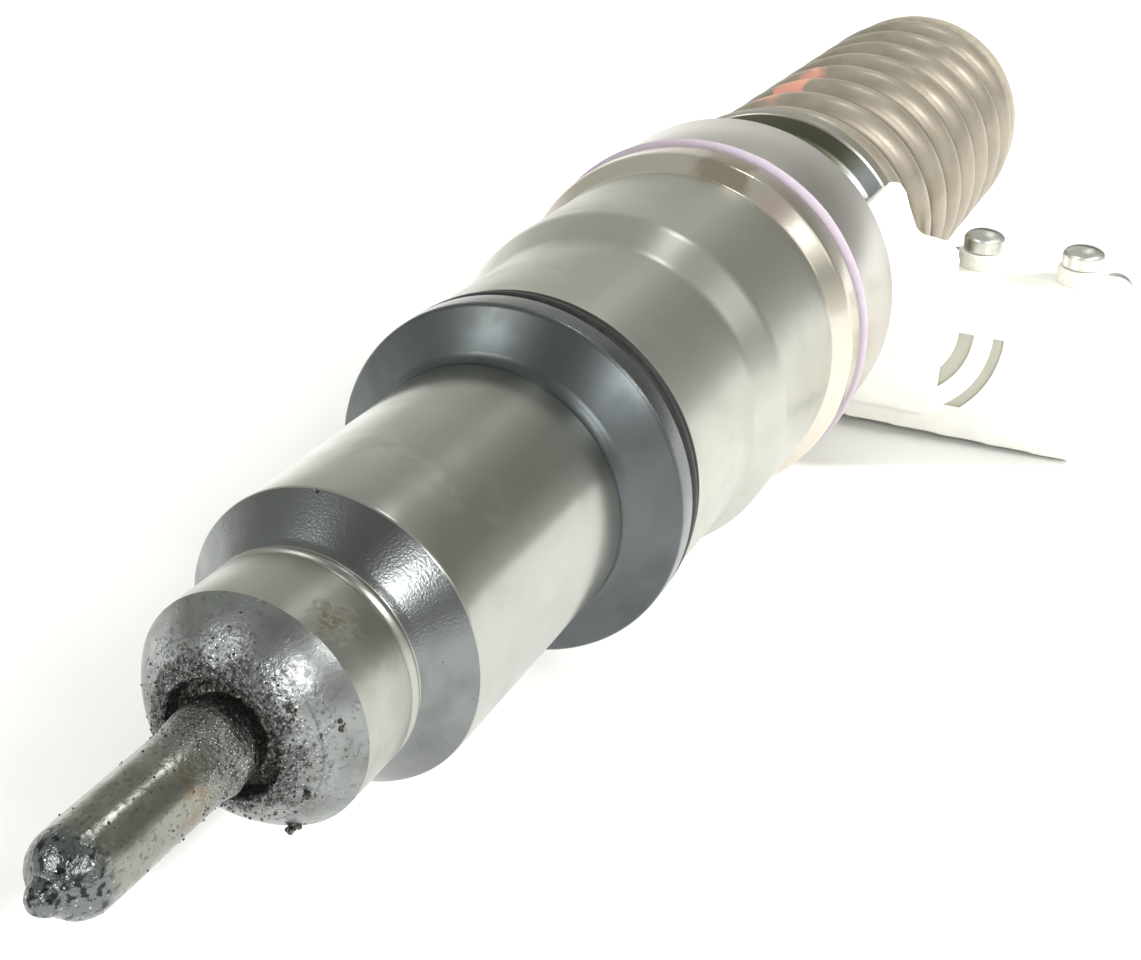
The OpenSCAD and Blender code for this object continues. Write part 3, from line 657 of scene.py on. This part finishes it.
def nozzle_depth(p):
    """Crust near the nut and a pitted end; the stem between is nearly smooth."""
    drift = noise.noise(p * 0.45) * 3.0
    crust = min(1.0, max(0.0, (p.x + drift + 54.5) / 4.5))
    end = min(1.0, max(0.0, (-65.6 - p.x + drift * 0.3) / 1.2))
    if p.x > NUT_X + 1.5:
        return 0.0
    coarse = noise.fractal(p * 1.6, 0.8, 2.1, 4)
    pits = noise.fractal(p * 1.1, 0.8, 2.1, 3)
    grit = max(0.0, noise.noise(p * 5.0)) ** 1.5
    collar = crust * max(0.0, 1 - abs(p.x + 51.6) / 3.2)
    return crust * (0.05 * coarse + 0.12 * grit) + 0.45 * collar + end * (0.05 * pits - 0.05) + 0.005 * coarse


def make_nozzle():
    sac = [(x, max(r, 0.0)) for r, x in arc(0, NIPPLE_X, NIPPLE_R, NIPPLE_R, -90, 0, 14)]
    dome = [(x, r) for r, x in arc(0, TIP_X, TIP_R, 3.3, -64, 0, 14)]
    skin = divided(sac + dome + [(NUT_X + 2.75, TIP_R)], 0.14)
    step_r = HOLE_R - 0.3
    rest = eased([(NUT_X + 2.75, TIP_R), (NUT_X + 3.95, step_r, 0.1), (-38.5, step_r, 0.1), (-38.5, 6.65, 0.1),
                  (-38, 7.15, 0.1), (-26.4, 7.15, 0.1), (-26, 6.75, 0.1), (-26, 2.05, 0.1), (-34.7, 2.05, 0.1),
                  (-35.5, 3.1, 0.1), (-38.5, 3.1, 0.1), (-39.7, 1.93, 0.1), (TIP_X + 0.45, 1.93, 0.1),
                  (TIP_X - 1.15, 0.5, 0.1), (TIP_X - 2.6, 0.5), (TIP_X - 2.75, 0.0)])
    piece = lathe("nozzle", skin + rest[1:], [tip_steel], segments=320)
    outward(piece)
    roughen(piece, nozzle_depth)
    smooth(piece, 60)
    return place(piece, "root", ["nozzle_body"])


# ---- Cap nut ----


def nose_depth(p):
    """Carbon caked round the hole, thinning outwards over the nose."""
    if p.x > NOSE_X + 0.5:
        return 0.0
    reach = math.hypot(p.y, p.z) + noise.noise(p * 0.55) * 1.0
    caked = min(1.0, max(0.0, (7.3 - reach) / 1.2))
    dusted = min(1.0, max(0.0, (10.0 - reach) / 2.5))
    coarse = noise.fractal(p * 1.5, 0.8, 2.1, 4)
    grit = max(0.0, noise.noise(p * 4.6)) ** 1.5
    return caked * (0.07 * coarse + 0.17 * grit) + dusted * 0.06 * grit * max(0.0, noise.noise(p * 0.8) + 0.3)


def make_cap_nut():
    start = -math.degrees(math.asin((DOME_X - NUT_X) / DOME_R))
    end = -math.degrees(math.asin((DOME_X - NOSE_X) / DOME_R))
    nose = [(x, r) for r, x in arc(0, DOME_X, DOME_R, DOME_R, start, end, 40)]
    front = divided([(NUT_X + 3.5, HOLE_R), (NUT_X + 0.25, HOLE_R), (NUT_X + 0.02, HOLE_R + 0.2)] + nose, 0.16)
    fillet = [(x, r) for r, x in arc(NUT_R + 1.6, -3.9, 1.6, 1.6, 180, 110, 12)]
    side = eased([(NOSE_X, NOSE_R), (NOSE_X + 0.2, NOSE_R, 0.1), (GROOVE_X - 0.45, NOSE_R, 0.12),
                  (GROOVE_X - 0.2, NOSE_R - 0.3, 0.1), (GROOVE_X + 0.2, NOSE_R - 0.3, 0.1),
                  (GROOVE_X + 0.45, NOSE_R, 0.12), (CONE_X - 0.95, NOSE_R, 0.12),
                  (CONE_X - 0.6, NOSE_R - 0.28, 0.15), (CONE_X, NOSE_R + 0.2, 0.2), (BARREL_X, NUT_R, 0.22),
                  (BARREL_X + 3, NUT_R), *fillet, (-0.2, FLANGE_R - 0.25, 0.15), (0.15, FLANGE_R, 0.15),
                  (FLANGE_END, FLANGE_R, 0.2), (FLANGE_END, 11.2, 0.1), (-8, 11.2, 0.1), (-8, 10.3, 0.1),
                  (-26, 10.3, 0.1), (-26, 7.25, 0.1), (-38, 7.25, 0.1), (-39, HOLE_R, 0.1),
                  (NUT_X + 3.6, HOLE_R)])

    def paint(x, r):
        if x < NOSE_X - 0.02:
            return 0
        if x < CONE_X - 0.35:
            return 1
        if x < BARREL_X - 0.08:
            return 2
        if x > 0:
            return 2
        return 3 if x < -3.95 or r < 11.3 else 4

    piece = lathe("cap_nut", front + side[1:], [nose_steel, pilot_steel, cone_steel, barrel_steel, flange_steel],
                  paint, closed=True, segments=384)
    outward(piece)
    roughen(piece, nose_depth)
    smooth(piece, 30)
    return place(piece, "root", ["nozzle_cap_nut"])


# ---- Seals ----


def make_rings():
    lower = [(FLANGE_END + 1.25 + dx, 17.65 + dr) for dr, dx in arc(0, 0, 1.1, 1.1, 0, 345, 23)]
    place(smooth(outward(lathe("lower_o_ring_skin", lower, [black_rubber], closed=True)), 80),
          "root", ["lower_o_ring"])
    upper = [(RING_X + dx, RING_MID + dr) for dr, dx in arc(0, 0, RING_SECTION, RING_SECTION, 0, 345, 23)]
    place(smooth(outward(lathe("upper_o_ring_skin", upper, [violet_rubber], closed=True)), 80),
          "root", ["upper_o_ring"])


# ---- Body ----


def make_body():
    half = RING_SECTION + 0.15
    groove_r = RING_MID - RING_SECTION - 0.05
    shoulder = [(x, r) for r, x in arc(LAND_3_R - 3, SHOULDER_X, 3, 2.4, 10, 70, 8)]
    fillet = [(x, r) for r, x in arc(NECK_R + 1, NECK_X + 1, 1, 1, 270, 180, 6)]
    outline = eased([
        (-8, 1), (-8, 10.5, 0.2), (-7.4, 11.1, 0.2), (FLANGE_END, 11.1, 0.1), (FLANGE_END, 16.5, 0.1),
        (LAND_1_X, 16.5, 0.1), (LAND_1_X, LAND_1_R - 0.25, 0.15), (LAND_1_X + 0.35, LAND_1_R, 0.15),
        (CHAMFER_X, LAND_1_R, 0.7), (LAND_2_X, LAND_2_R, 0.8), (BAND_X, LAND_2_R, 0.35),
        (LAND_3_X, LAND_3_R, 0.5), (RING_X - half, LAND_3_R, 0.2), (RING_X - half, groove_r, 0.1),
        (RING_X + half, groove_r, 0.1), (RING_X + half, LAND_3_R, 0.2), *shoulder, (NECK_X, NECK_R + 3, 0.2),
        *fillet, (SEAT_X - 0.8, NECK_R, 0.4), (SEAT_X, NECK_R + 0.8, 0.3), (SEAT_X, SEAT_R - 0.3, 0.15),
        (SEAT_X + 0.3, SEAT_R, 0.15), (SPRING_X - 0.3, SEAT_R, 0.15), (SPRING_X, SEAT_R - 0.3, 0.15),
        (SPRING_X, GUIDE_R + 0.6, 0.2), (SPRING_X + 0.6, GUIDE_R, 0.2), (BARREL_END - 0.6, GUIDE_R, 0.2),
        (BARREL_END, GUIDE_R - 0.6, 0.2), (BARREL_END, BORE_R, 0.1), (12, BORE_R, 0.1), (12, 1, 0.1), (-8, 1)])
    piece = outward(lathe("body_turning", outline[:-1], [body_steel], closed=True))
    cutters = []
    for angle in FILTER_ANGLES:
        a = math.radians(angle)
        out = Vector((0, math.cos(a), math.sin(a)))
        base = Vector((FILTER_X, 0, 0))
        cutters.append(bar(base + out * (LAND_2_R - 2), base + out * (LAND_2_R + 2), 3))
    cutters.append(bar((PLUG_X, LAND_1_R - 2.4, 0), (PLUG_X, LAND_1_R + 2, 0), 2.5))
    combine(piece, "DIFFERENCE", *cutters)
    smooth(piece, 30)
    return place(piece, "root", ["injector_body"])


def make_arm():
    """The forged arm: root, ear and block, softened where they meet."""
    ear = [(-13.6, ARM_BOTTOM + 3), (-14.2, 10.2), (-14.8, 11.3), (-15.8, 11.9), (-16.9, 11.6), (-17.8, 10.6),
           (-18.6, 8.6), (-19.9, 5.8), (-20.8, 5.2), (-24.4, 4.8), (-25.7, 3.9), (-26.3, 2.4),
           (-26.3, ARM_BOTTOM + 3)]
    piece = prism("arm_forging", ARM_X, SPACER_X, rounded_box(-ARM_REACH, ARM_BOTTOM, -10, STACK_TOP, 2.6),
                  [stack_metal])
    root = prism("root", NECK_X - 1, ARM_X + 2, rounded_box(-25, ARM_BOTTOM + 0.4, -4, 8, 3), [stack_metal])
    combine(root, "UNION", prism("post", NECK_X - 1, ARM_X + 2, ear, [stack_metal]))
    limit = bar((NECK_X - 2, 0, 0), (ARM_X + 3, 0, 0), LAND_3_R - 1.3, 160)
    combine(root, "INTERSECT", limit)
    post = prism("post", ARM_X - 1.5, SPACER_X - 4, ear, [stack_metal])
    neck = bar((NECK_X - 0.9, 0, 0), (SEAT_X, 0, 0), NECK_R - 0.15, 128)
    combine(piece, "UNION", root, post, neck)
    pocket = bar((SPRING_X, 0, 0), (SPACER_X + 1, 0, 0), SEAT_R + 0.5, 160)
    combine(piece, "DIFFERENCE", pocket)
    grid = piece.modifiers.new("grid", "REMESH")
    grid.mode = "VOXEL"
    grid.voxel_size = 0.3 * MM
    soft = piece.modifiers.new("soft", "SMOOTH")
    soft.factor = 0.5
    soft.iterations = 4
    settle(piece)
    relief = []
    for r, half in ((9.3, 1.0), (13.6, 0.7)):
        groove = [(ARM_X - 1, r - half), (ARM_X + 0.45, r - half), (ARM_X + 0.45, r + half), (ARM_X - 1, r + half)]
        ring = outward(lathe("relief", groove, [stack_metal], closed=True, segments=160, turn=ARM_FRAME,
                             y=-20.6, z=-5.1))
        combine(ring, "INTERSECT", prism("limit", ARM_X - 2, ARM_X + 2,
                                         [(-27.1, -15.5), (-36, -15.5), (-36, -4.9), (-27.1, -4.9)], [stack_metal]))
        relief.append(ring)
    back = bar((SPACER_X - 0.02, VALVE_Y, VALVE_Z), (SPACER_X + 2, VALVE_Y, VALVE_Z), 40, 8, ARM_FRAME)
    combine(piece, "DIFFERENCE", *relief, back)
    smooth(piece, 40)
    return place(piece, "root", ["injector_body"])


# ---- Return spring ----


def make_spring():
    closed_turns = 0.75
    grounding = 0.3
    x0, x1 = SPRING_X + 0.05, TAPPET_X - 0.05
    first, last = x0 + WIRE_H / 2, x1 - WIRE_H / 2
    rise = closed_turns * WIRE_H * 1.02
    active = round((last - first - 2 * rise) / 10 * 4) / 4
    pitch = (last - first - 2 * rise) / active
    turns = active + 2 * closed_turns
    steps_a_turn, sides = 96, 28
    n = round(turns * steps_a_turn)

    def station(t):
        if t < closed_turns:
            return first - WIRE_H * grounding * (1 - t / closed_turns) + t * rise / closed_turns
        if t > turns - closed_turns:
            left = turns - t
            return last + WIRE_H * grounding * (1 - left / closed_turns) - left * rise / closed_turns
        return first + rise + (t - closed_turns) * pitch

    mid = SPRING_R - WIRE_W / 2
    points = []
    for i in range(n + 1):
        t = turns * i / n
        a = 2 * math.pi * t
        for k in range(sides):
            b = 2 * math.pi * k / sides
            r = mid + WIRE_W / 2 * math.cos(b)
            x = station(t) + WIRE_H / 2 * math.sin(b)
            points.append((min(x1, max(x0, x)), r * math.cos(a), r * math.sin(a)))
    faces = [[i * sides + k, (i + 1) * sides + k, (i + 1) * sides + (k + 1) % sides, i * sides + (k + 1) % sides]
             for i in range(n) for k in range(sides)]
    faces += [list(range(sides)), [n * sides + k for k in range(sides - 1, -1, -1)]]
    piece = smooth(outward(mesh_piece("return_spring", points, faces, [wire_steel])), 50)
    place(piece, "root", ["plunger_return_spring"])
    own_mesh(piece)
    return piece


# ---- Tappet ----


def make_tappet():
    disc_r, skirt_r, skirt_x, head_x = 18.2, 11.6, SPRING_X + 26.25, TAPPET_X - 7
    inner = GUIDE_R + 0.05
    outline = eased([
        (skirt_x, inner), (skirt_x, skirt_r - 0.5, 0.2), (skirt_x + 0.5, skirt_r, 0.2), (TAPPET_X, skirt_r, 0.1),
        (TAPPET_X, disc_r - 0.6, 0.3), (TAPPET_X + 0.6, disc_r, 0.3), (TAPPET_X + 2.7, disc_r, 0.4),
        (TAPPET_X + 3.5, disc_r - 0.8, 0.4), (TAPPET_X + 3.5, 8, 0.2), (head_x, 8, 0.1), (head_x, 7.4, 0.05),
        (head_x - 2.5, 7.4, 0.05), (head_x - 2.5, inner, 0.05), (skirt_x, inner)])
    piece = outward(lathe("tappet_skin", outline[:-1], [tappet_steel], closed=True))
    start, end = STOP_PIN_X - 1.1, STOP_PIN_X + STROKE + 1.1
    slots = []
    for low, high in ((8, 13), (-13, -8)):
        walls = [(-1.15, low), (1.15, low), (1.15, high), (-1.15, high)]
        slots.append(prism("slot", start, end, walls, [tappet_steel], turn=NO_ROLL))
    combine(piece, "DIFFERENCE", *slots)
    place(smooth(piece, 30), "plunger_drive", ["tappet"])
    pad_x = head_x + 3.05
    top = TAPPET_X + 3.5
    pad = eased([(pad_x, 0), (pad_x, 7.5, 0.2), (pad_x + 0.4, 7.9, 0.2), (top, 7.9, 0.4), (top + 2.2, 7.4, 0.9),
                 (top + 3, 6.6, 0.9), (top + 3, 0)], 6)
    place(smooth(outward(lathe("tappet_pad_skin", pad, [ground_steel])), 30), "plunger_drive", ["tappet_pad"])
    ends = []
    for side in (-1, 1):
        pin = eased([(5.4, 0), (5.4, 1, 0.15), (11.2, 1, 0.25), (11.2, 0)])
        stand = Matrix.Translation((STOP_PIN_X * MM, 0, 0)) @ Matrix.Rotation(-side * math.pi / 2, 4, "Y")
        ends.append(outward(lathe("pin", pin, [ground_steel], segments=32, turn=stand)))
    place(smooth(joined("stop_pins", ends), 30), "root", ["tappet_stop_pin"])


def joined(name, parts):
    """One piece of several."""
    with bpy.context.temp_override(active_object=parts[0], selected_editable_objects=parts):
        bpy.ops.object.join()
    parts[0].name = name
    return parts[0]


# ---- Solenoid stack ----


def stack_outline(inset=0.0, r=2.6):
    return rounded_box(-ARM_REACH + inset, ARM_BOTTOM + inset, -ARM_REACH + STACK_W - inset,
                       STACK_TOP - inset, r)


def window(w, h, r):
    return rounded_box(VALVE_Y - w / 2, VALVE_Z - h / 2, VALVE_Y + w / 2, VALVE_Z + h / 2, r, 5)


SCREW_SPOTS = [(VALVE_Y + sy * 11.25, VALVE_Z + sz * 5.7) for sy in (-1, 1) for sz in (-1, 1)]


def arm_bar(x0, x1, y, z, r, sides=48):
    return bar((x0, y, z), (x1, y, z), r, sides, ARM_FRAME)


def make_stack():
    for name, node, x0, x1, outline, hole_x0, hole_x1, opening, edge in (
            ("spacer_skin", "armature_spacer", SPACER_X, HOUSING_X, stack_outline(),
             SPACER_X - 1, HOUSING_X + 1, window(16, 13, 1.6), 0.22),
            ("stator_housing_skin", "stator_housing", HOUSING_X, CLAMP_X, stack_outline(),
             HOUSING_X - 1, HOUSING_X + 8.5, window(17, 13.2, 1), 0.25),
            ("clamp_plate_skin", "clamp_plate", CLAMP_X, CLAMP_END, stack_outline(0.3, 2.3),
             CLAMP_END - 0.5, CLAMP_END + 1, window(11.5, 9.5, 1.4), 0.3)):
        layer = prism(name, x0, x1, outline, [stack_metal])
        combine(layer, "DIFFERENCE", prism("hole", hole_x0, hole_x1, opening, []),
                *[arm_bar(x0 - 1, x1 + 1, y, z, 1.6) for y, z in SCREW_SPOTS])
        place(smooth(bevel(layer, edge), 35), "root", [node])

    screws = []
    for y, z in SCREW_SPOTS:
        head = eased([(ARM_X + 3.2, 0), (ARM_X + 3.2, 1.4, 0.2), (CLAMP_END, 1.5, 0.05), (CLAMP_END, 2.6, 0.1),
                      (CLAMP_END + 2.3, 2.6, 0.3), (CLAMP_END + 2.8, 2.2, 0.2), (CLAMP_END + 2.8, 0)])
        screw = outward(lathe("screw", head, [screw_steel], segments=72, turn=ARM_FRAME, y=y, z=z))
        combine(screw, "DIFFERENCE", arm_bar(CLAMP_END + 1.2, CLAMP_END + 4, y, z, 1.45, 6))
        screws.append(screw)
    place(smooth(joined("stator_screws_skin", screws), 30), "root", ["stator_screws"])


def make_terminals():
    collars, screws = [], []
    for y in TERMINAL_Y:
        stand = ARM_FRAME @ Matrix.Translation(Vector((TERMINAL_X, y, STACK_TOP)) * MM)
        stand = stand @ Matrix.Rotation(-math.pi / 2, 4, "Y")
        collar = eased([(0, 1.45), (0, 3.3, 0.1), (COLLAR_H, 3.3, 0.2), (COLLAR_H, 1.45, 0.1), (0, 1.45)])
        collars.append(outward(lathe("collar", collar[:-1], [insulator], closed=True, segments=72, turn=stand)))
        head = [(COLLAR_H, 0), (COLLAR_H, 1.3), (COLLAR_H + 0.02, 2.0), (COLLAR_H + 0.15, 2.75)]
        crown = [(x, r) for r, x in arc(0, COLLAR_H + 1.7, 2.9, 1.4, 0, 90, 14)]
        screw = outward(lathe("terminal", head + crown, [screw_steel], segments=96, turn=stand))
        slot = prism("slot", -0.45, 0.45, [(-4, 0), (4, 0), (4, 3), (-4, 3)], [],
                     turn=ARM_FRAME @ Matrix.Translation(Vector((TERMINAL_X, y, STACK_TOP + COLLAR_H + 2.2)) * MM))
        combine(screw, "DIFFERENCE", slot)
        screws.append(screw)
    place(smooth(joined("terminal_collars", collars), 30), "root", ["terminal_insulators"])
    place(smooth(joined("terminal_screws_skin", screws), 30), "root", ["terminal_screws"])


# ---- Inlet filters and plug ----


def make_inlets():
    parts = []
    for angle in FILTER_ANGLES:
        stand = Matrix.Rotation(math.radians(angle), 4, "X")
        stand = stand @ Matrix.Translation((FILTER_X * MM, 0, 0)) @ Matrix.Rotation(math.pi / 2, 4, "Z")
        low, high = LAND_2_R - 1.95, LAND_2_R - 0.7
        rim = eased([(low, 2.5), (low, 2.95, 0.1), (high, 2.95, 0.1), (high, 2.5, 0.1), (low, 2.5)])
        parts.append(outward(lathe("rim", rim[:-1], [filter_mesh], closed=True, segments=64, turn=stand)))
        parts += woven_disc(low + 0.8, 2.55, stand)
    place(smooth(joined("inlet_filter_mesh", parts), 40), "root", ["inlet_filters"])
    hole_low = LAND_1_R - 2.4
    stand = Matrix.Translation((PLUG_X * MM, 0, 0)) @ Matrix.Rotation(math.pi / 2, 4, "Z")
    plug = eased([(hole_low, 0), (hole_low, 2.47, 0.1), (hole_low + 1.9, 2.47, 0.25), (hole_low + 1.9, 0)])
    piece = outward(lathe("gallery_plug_skin", plug, [ground_steel], segments=72, turn=stand))
    combine(piece, "DIFFERENCE", bar((PLUG_X, hole_low + 0.9, 0), (PLUG_X, hole_low + 4, 0), 1.2, 6))
    place(smooth(piece, 30), "root", ["gallery_plugs"])


def woven_disc(level, radius, stand):
    """Crossing wires that pass over and under each other."""
    pitch, wire, count, steps = 0.5, 0.1, 4, 40
    wires = []
    for way in (0, 1):
        for i in range(-count, count + 1):
            offset = i * pitch
            half = math.sqrt(max(0.0, radius ** 2 - offset ** 2))
            points, faces, sides = [], [], 6
            for s in range(steps + 1):
                along = -half + 2 * half * s / steps
                lift = math.cos(math.pi * along / pitch + math.pi * (i + way)) * wire * 0.9
                centre = (level + lift, along, offset) if way else (level + lift, offset, along)
                for k in range(sides):
                    a = 2 * math.pi * k / sides
                    up, out = wire * math.cos(a), wire * math.sin(a)
                    shift = (up, 0, out) if way else (up, out, 0)
                    points.append(tuple(c + d for c, d in zip(centre, shift)))
            for s in range(steps):
                for k in range(sides):
                    m = (k + 1) % sides
                    faces.append([s * sides + k, s * sides + m, (s + 1) * sides + m, (s + 1) * sides + k])
            faces += [list(range(sides)), [steps * sides + k for k in range(sides)]]
            wires.append(outward(mesh_piece("wire", points, faces, [filter_mesh], turn=stand)))
    return wires


# ---- Carbon deposits ----


def grain(centre, size, chance, points, faces):
    """Adds one small lump, a cube's corners pushed out at random."""
    start = len(points)
    for dx in (-1, 1):
        for dy in (-1, 1):
            for dz in (-1, 1):
                push = Vector((dx, dy, dz)) * size * 0.5
                points.append(centre + Vector([c * chance.uniform(0.55, 1.25) for c in push]))
    for f in ((0, 1, 3, 2), (4, 6, 7, 5), (0, 4, 5, 1), (2, 3, 7, 6), (0, 2, 6, 4), (1, 5, 7, 3)):
        faces.append([start + k for k in f])


def nose_station(r):
    """Station of the nose's skin at a radius."""
    return DOME_X - math.sqrt(DOME_R ** 2 - r ** 2)


def make_filling():
    """Carbon that fills the gap between the nozzle and the nut's hole, a little below its rim."""
    outline = divided([(NUT_X + 2.6, TIP_R + 0.01), (NUT_X + 1.2, TIP_R + 0.01), (NUT_X + 1.8, 4.3),
                       (NUT_X + 1.9, HOLE_R - 0.02), (NUT_X + 2.6, HOLE_R - 0.02)], 0.16)
    piece = outward(lathe("carbon_filling", outline, [carbon], closed=True))

    def depth(p):
        inside = min(1.0, max(0.0, (HOLE_R - 0.15 - math.hypot(p.y, p.z)) / 0.3)) if p.x < NUT_X + 2.2 else 0.0
        return inside * (0.16 * noise.fractal(p * 1.3, 0.8, 2.1, 4) + 0.2 * max(0.0, noise.noise(p * 4.0)))

    roughen(piece, depth)
    place(smooth(piece, 50), "root", ())


def make_carbon():
    chance = random.Random(7)
    points, faces = [], []
    for _ in range(420):
        x = NUT_X + 1.0 - abs(chance.gauss(0, 4.2))
        a = chance.uniform(0, 2 * math.pi)
        out = Vector((0, math.cos(a), math.sin(a)))
        grain(Vector((x, 0, 0)) + out * (TIP_R + 0.02), chance.uniform(0.1, 0.3), chance, points, faces)
    for _ in range(60):
        x = chance.uniform(TIP_X - 1, NUT_X)
        a = chance.uniform(0, 2 * math.pi)
        out = Vector((0, math.cos(a), math.sin(a)))
        grain(Vector((x, 0, 0)) + out * TIP_R, chance.uniform(0.12, 0.3), chance, points, faces)
    for _ in range(520):
        t = abs(chance.gauss(0, 0.28))
        a = chance.uniform(0, 2 * math.pi)
        r = HOLE_R + 0.4 + (NOSE_R - HOLE_R - 0.4) * min(1.0, t)
        x = nose_station(r)
        out = Vector((0, math.cos(a), math.sin(a)))
        grain(Vector((x, 0, 0)) + out * r, chance.uniform(0.1, 0.36), chance, points, faces)
    for x, a, size, count in ((NOSE_X - 0.8, -112, 1.5, 26), (NOSE_X + 0.9, -103, 1.1, 16),
                              (NOSE_X - 1.6, 168, 1.0, 14), (NUT_X + 1.3, -150, 1.0, 14),
                              (NUT_X + 1.0, 148, 1.1, 14), (BARREL_X - 0.2, 88, 0.5, 5)):
        turn = math.radians(a)
        out = Vector((0, math.cos(turn), math.sin(turn)))
        if x < NOSE_X:
            r = math.sqrt(DOME_R ** 2 - (DOME_X - x) ** 2)
        else:
            r = NOSE_R if x < CONE_X else NUT_R
        for _ in range(count):
            spread = Vector([chance.gauss(0, size * 0.3) for _ in range(3)])
            spread -= out * spread.dot(out) * 0.6
            grain(Vector((x, 0, 0)) + out * r + spread, size * chance.uniform(0.25, 0.6), chance, points, faces)
    piece = outward(mesh_piece("carbon_deposits", points, faces, [carbon]))
    soft = piece.modifiers.new("soft", "SUBSURF")
    soft.levels = soft.render_levels = 1
    settle(piece)
    place(smooth(piece, 60), "root", ())


# ---- Parts that keep their CAD meshes ----

KEPT = (
    (ground_steel, ("nozzle_needle", "needle_stop_plate", "needle_spring_seat", "pressure_shim", "spring_cage",
                    "adaptor_plate", "dowel_pins", "plunger", "control_valve", "armature_screw")),
    (small_wire, ("nozzle_spring", "valve_spring")),
    (core_iron, ("armature", "stator_core")),
    (tappet_steel, ("plunger_keeper",)),
    (black_rubber, ("spacer_seals",)),
    (copper, ("stator_coil",)),
)


def dress_kept_nodes():
    for material, names in KEPT:
        for name in names:
            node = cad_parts[name]
            node.data.materials.clear()
            node.data.materials.append(material)


# ---- Stage, light and camera ----


def make_stage():
    spots = [(x * FLOOR_HALF, y * FLOOR_HALF, FLOOR_Z - 0.1) for x, y in ((-1, -1), (1, -1), (1, 1), (-1, 1))]
    f = Finish("floor", (0.86, 0.86, 0.85, 1.0), 0.6, metal=0.0, specular=0.2)
    floor = mesh_piece("floor", spots, [(0, 1, 2, 3)], [f.done()])


def sun(name, azimuth, elevation, strength, angle, glossy=True):
    """A soft light from a direction; azimuth 0 is along +X and 90 along +Y."""
    light = bpy.data.lights.new(name, "SUN")
    light.energy = strength
    light.angle = math.radians(angle)
    holder = bpy.data.objects.new(name, light)
    holder.visible_glossy = glossy
    a, e = math.radians(azimuth), math.radians(elevation)
    toward = Vector((math.cos(a) * math.cos(e), math.sin(a) * math.cos(e), math.sin(e)))
    holder.rotation_mode = "QUATERNION"
    holder.rotation_quaternion = toward.to_track_quat("Z", "Y")
    bpy.context.scene.collection.objects.link(holder)


def make_light():
    sun("near_light", -146, 27, 1.0, 13)
    sun("left_light", 146, 36, 0.6, 10)
    sun("far_light", -10, 54, 0.14, 9)
    sun("side_light", -76, 36, 0.15, 30)
    sun("glint_light", -108, 40, 0.7, 13)
    sun("table_light", -66, 25, 4.6, 5, glossy=False)
    sun("overhead_light", 20, 78, 1.1, 50, glossy=False)
    world = bpy.data.worlds.new("studio")
    bpy.context.scene.world = world
    world.use_nodes = True
    tree = world.node_tree
    coords = tree.nodes.new("ShaderNodeTexCoord").outputs["Generated"]
    parts = tree.nodes.new("ShaderNodeSeparateXYZ")
    tree.links.new(coords, parts.inputs[0])
    ramp = tree.nodes.new("ShaderNodeValToRGB")
    tree.links.new(parts.outputs[2], ramp.inputs[0])
    stops = ramp.color_ramp.elements
    stops[0].position, stops[0].color = 0.0, (0.95, 0.95, 0.92, 1)
    stops[1].position, stops[1].color = 1.0, (0.5, 0.51, 0.48, 1)
    for position, colour in ((0.1, (0.88, 0.88, 0.85, 1)), (0.28, (0.5, 0.51, 0.47, 1))):
        stop = stops.new(position)
        stop.color = colour
    strength = None
    # the room is dim behind the camera and at the far right, and bright at the far left
    for toward, start, end, level in (((-0.826, -0.367, 0.427), 0.55, 0.95, 0.42),
                                      ((0.86, -0.48, 0.17), 0.82, 0.97, 0.6),
                                      ((0.79, 0.58, 0.2), 0.82, 0.97, 1.35)):
        facing = tree.nodes.new("ShaderNodeVectorMath")
        facing.operation = "DOT_PRODUCT"
        facing.inputs[1].default_value = toward
        tree.links.new(coords, facing.inputs[0])
        shade = tree.nodes.new("ShaderNodeMapRange")
        shade.interpolation_type = "SMOOTHSTEP"
        for key, value in (("From Min", start), ("From Max", end), ("To Min", 1.0), ("To Max", level)):
            shade.inputs[key].default_value = value
        tree.links.new(facing.outputs["Value"], shade.inputs["Value"])
        if strength is None:
            strength = shade.outputs[0]
            continue
        product = tree.nodes.new("ShaderNodeMath")
        product.operation = "MULTIPLY"
        tree.links.new(strength, product.inputs[0])
        tree.links.new(shade.outputs[0], product.inputs[1])
        strength = product.outputs[0]
    background = tree.nodes["Background"]
    tree.links.new(ramp.outputs[0], background.inputs["Color"])
    tree.links.new(strength, background.inputs["Strength"])
    bpy.context.scene.view_settings.view_transform = "Standard"


def make_camera():
    data = bpy.data.cameras.new("camera")
    data.sensor_width = 36
    data.lens = 54.193
    data.clip_start, data.clip_end = 0.005, 50
    camera = bpy.data.objects.new("camera", data)
    bpy.context.scene.collection.objects.link(camera)
    forward = Vector((0.82639, 0.36720, -0.42690)).normalized()
    right = Vector((0.40606, -0.91385, 0)).normalized()
    up = right.cross(forward)
    turn = Matrix((right, up, -forward)).transposed().to_4x4()
    camera.matrix_world = Matrix.Translation(Vector((-138.81, -68.65, 73.40)) * MM) @ turn
    bpy.context.scene.camera = camera


make_nozzle()
make_cap_nut()
make_rings()
make_body()
make_arm()
make_spring()
make_tappet()
make_stack()
make_terminals()
make_inlets()
make_filling()
make_carbon()
dress_kept_nodes()
make_stage()
make_light()
make_camera()
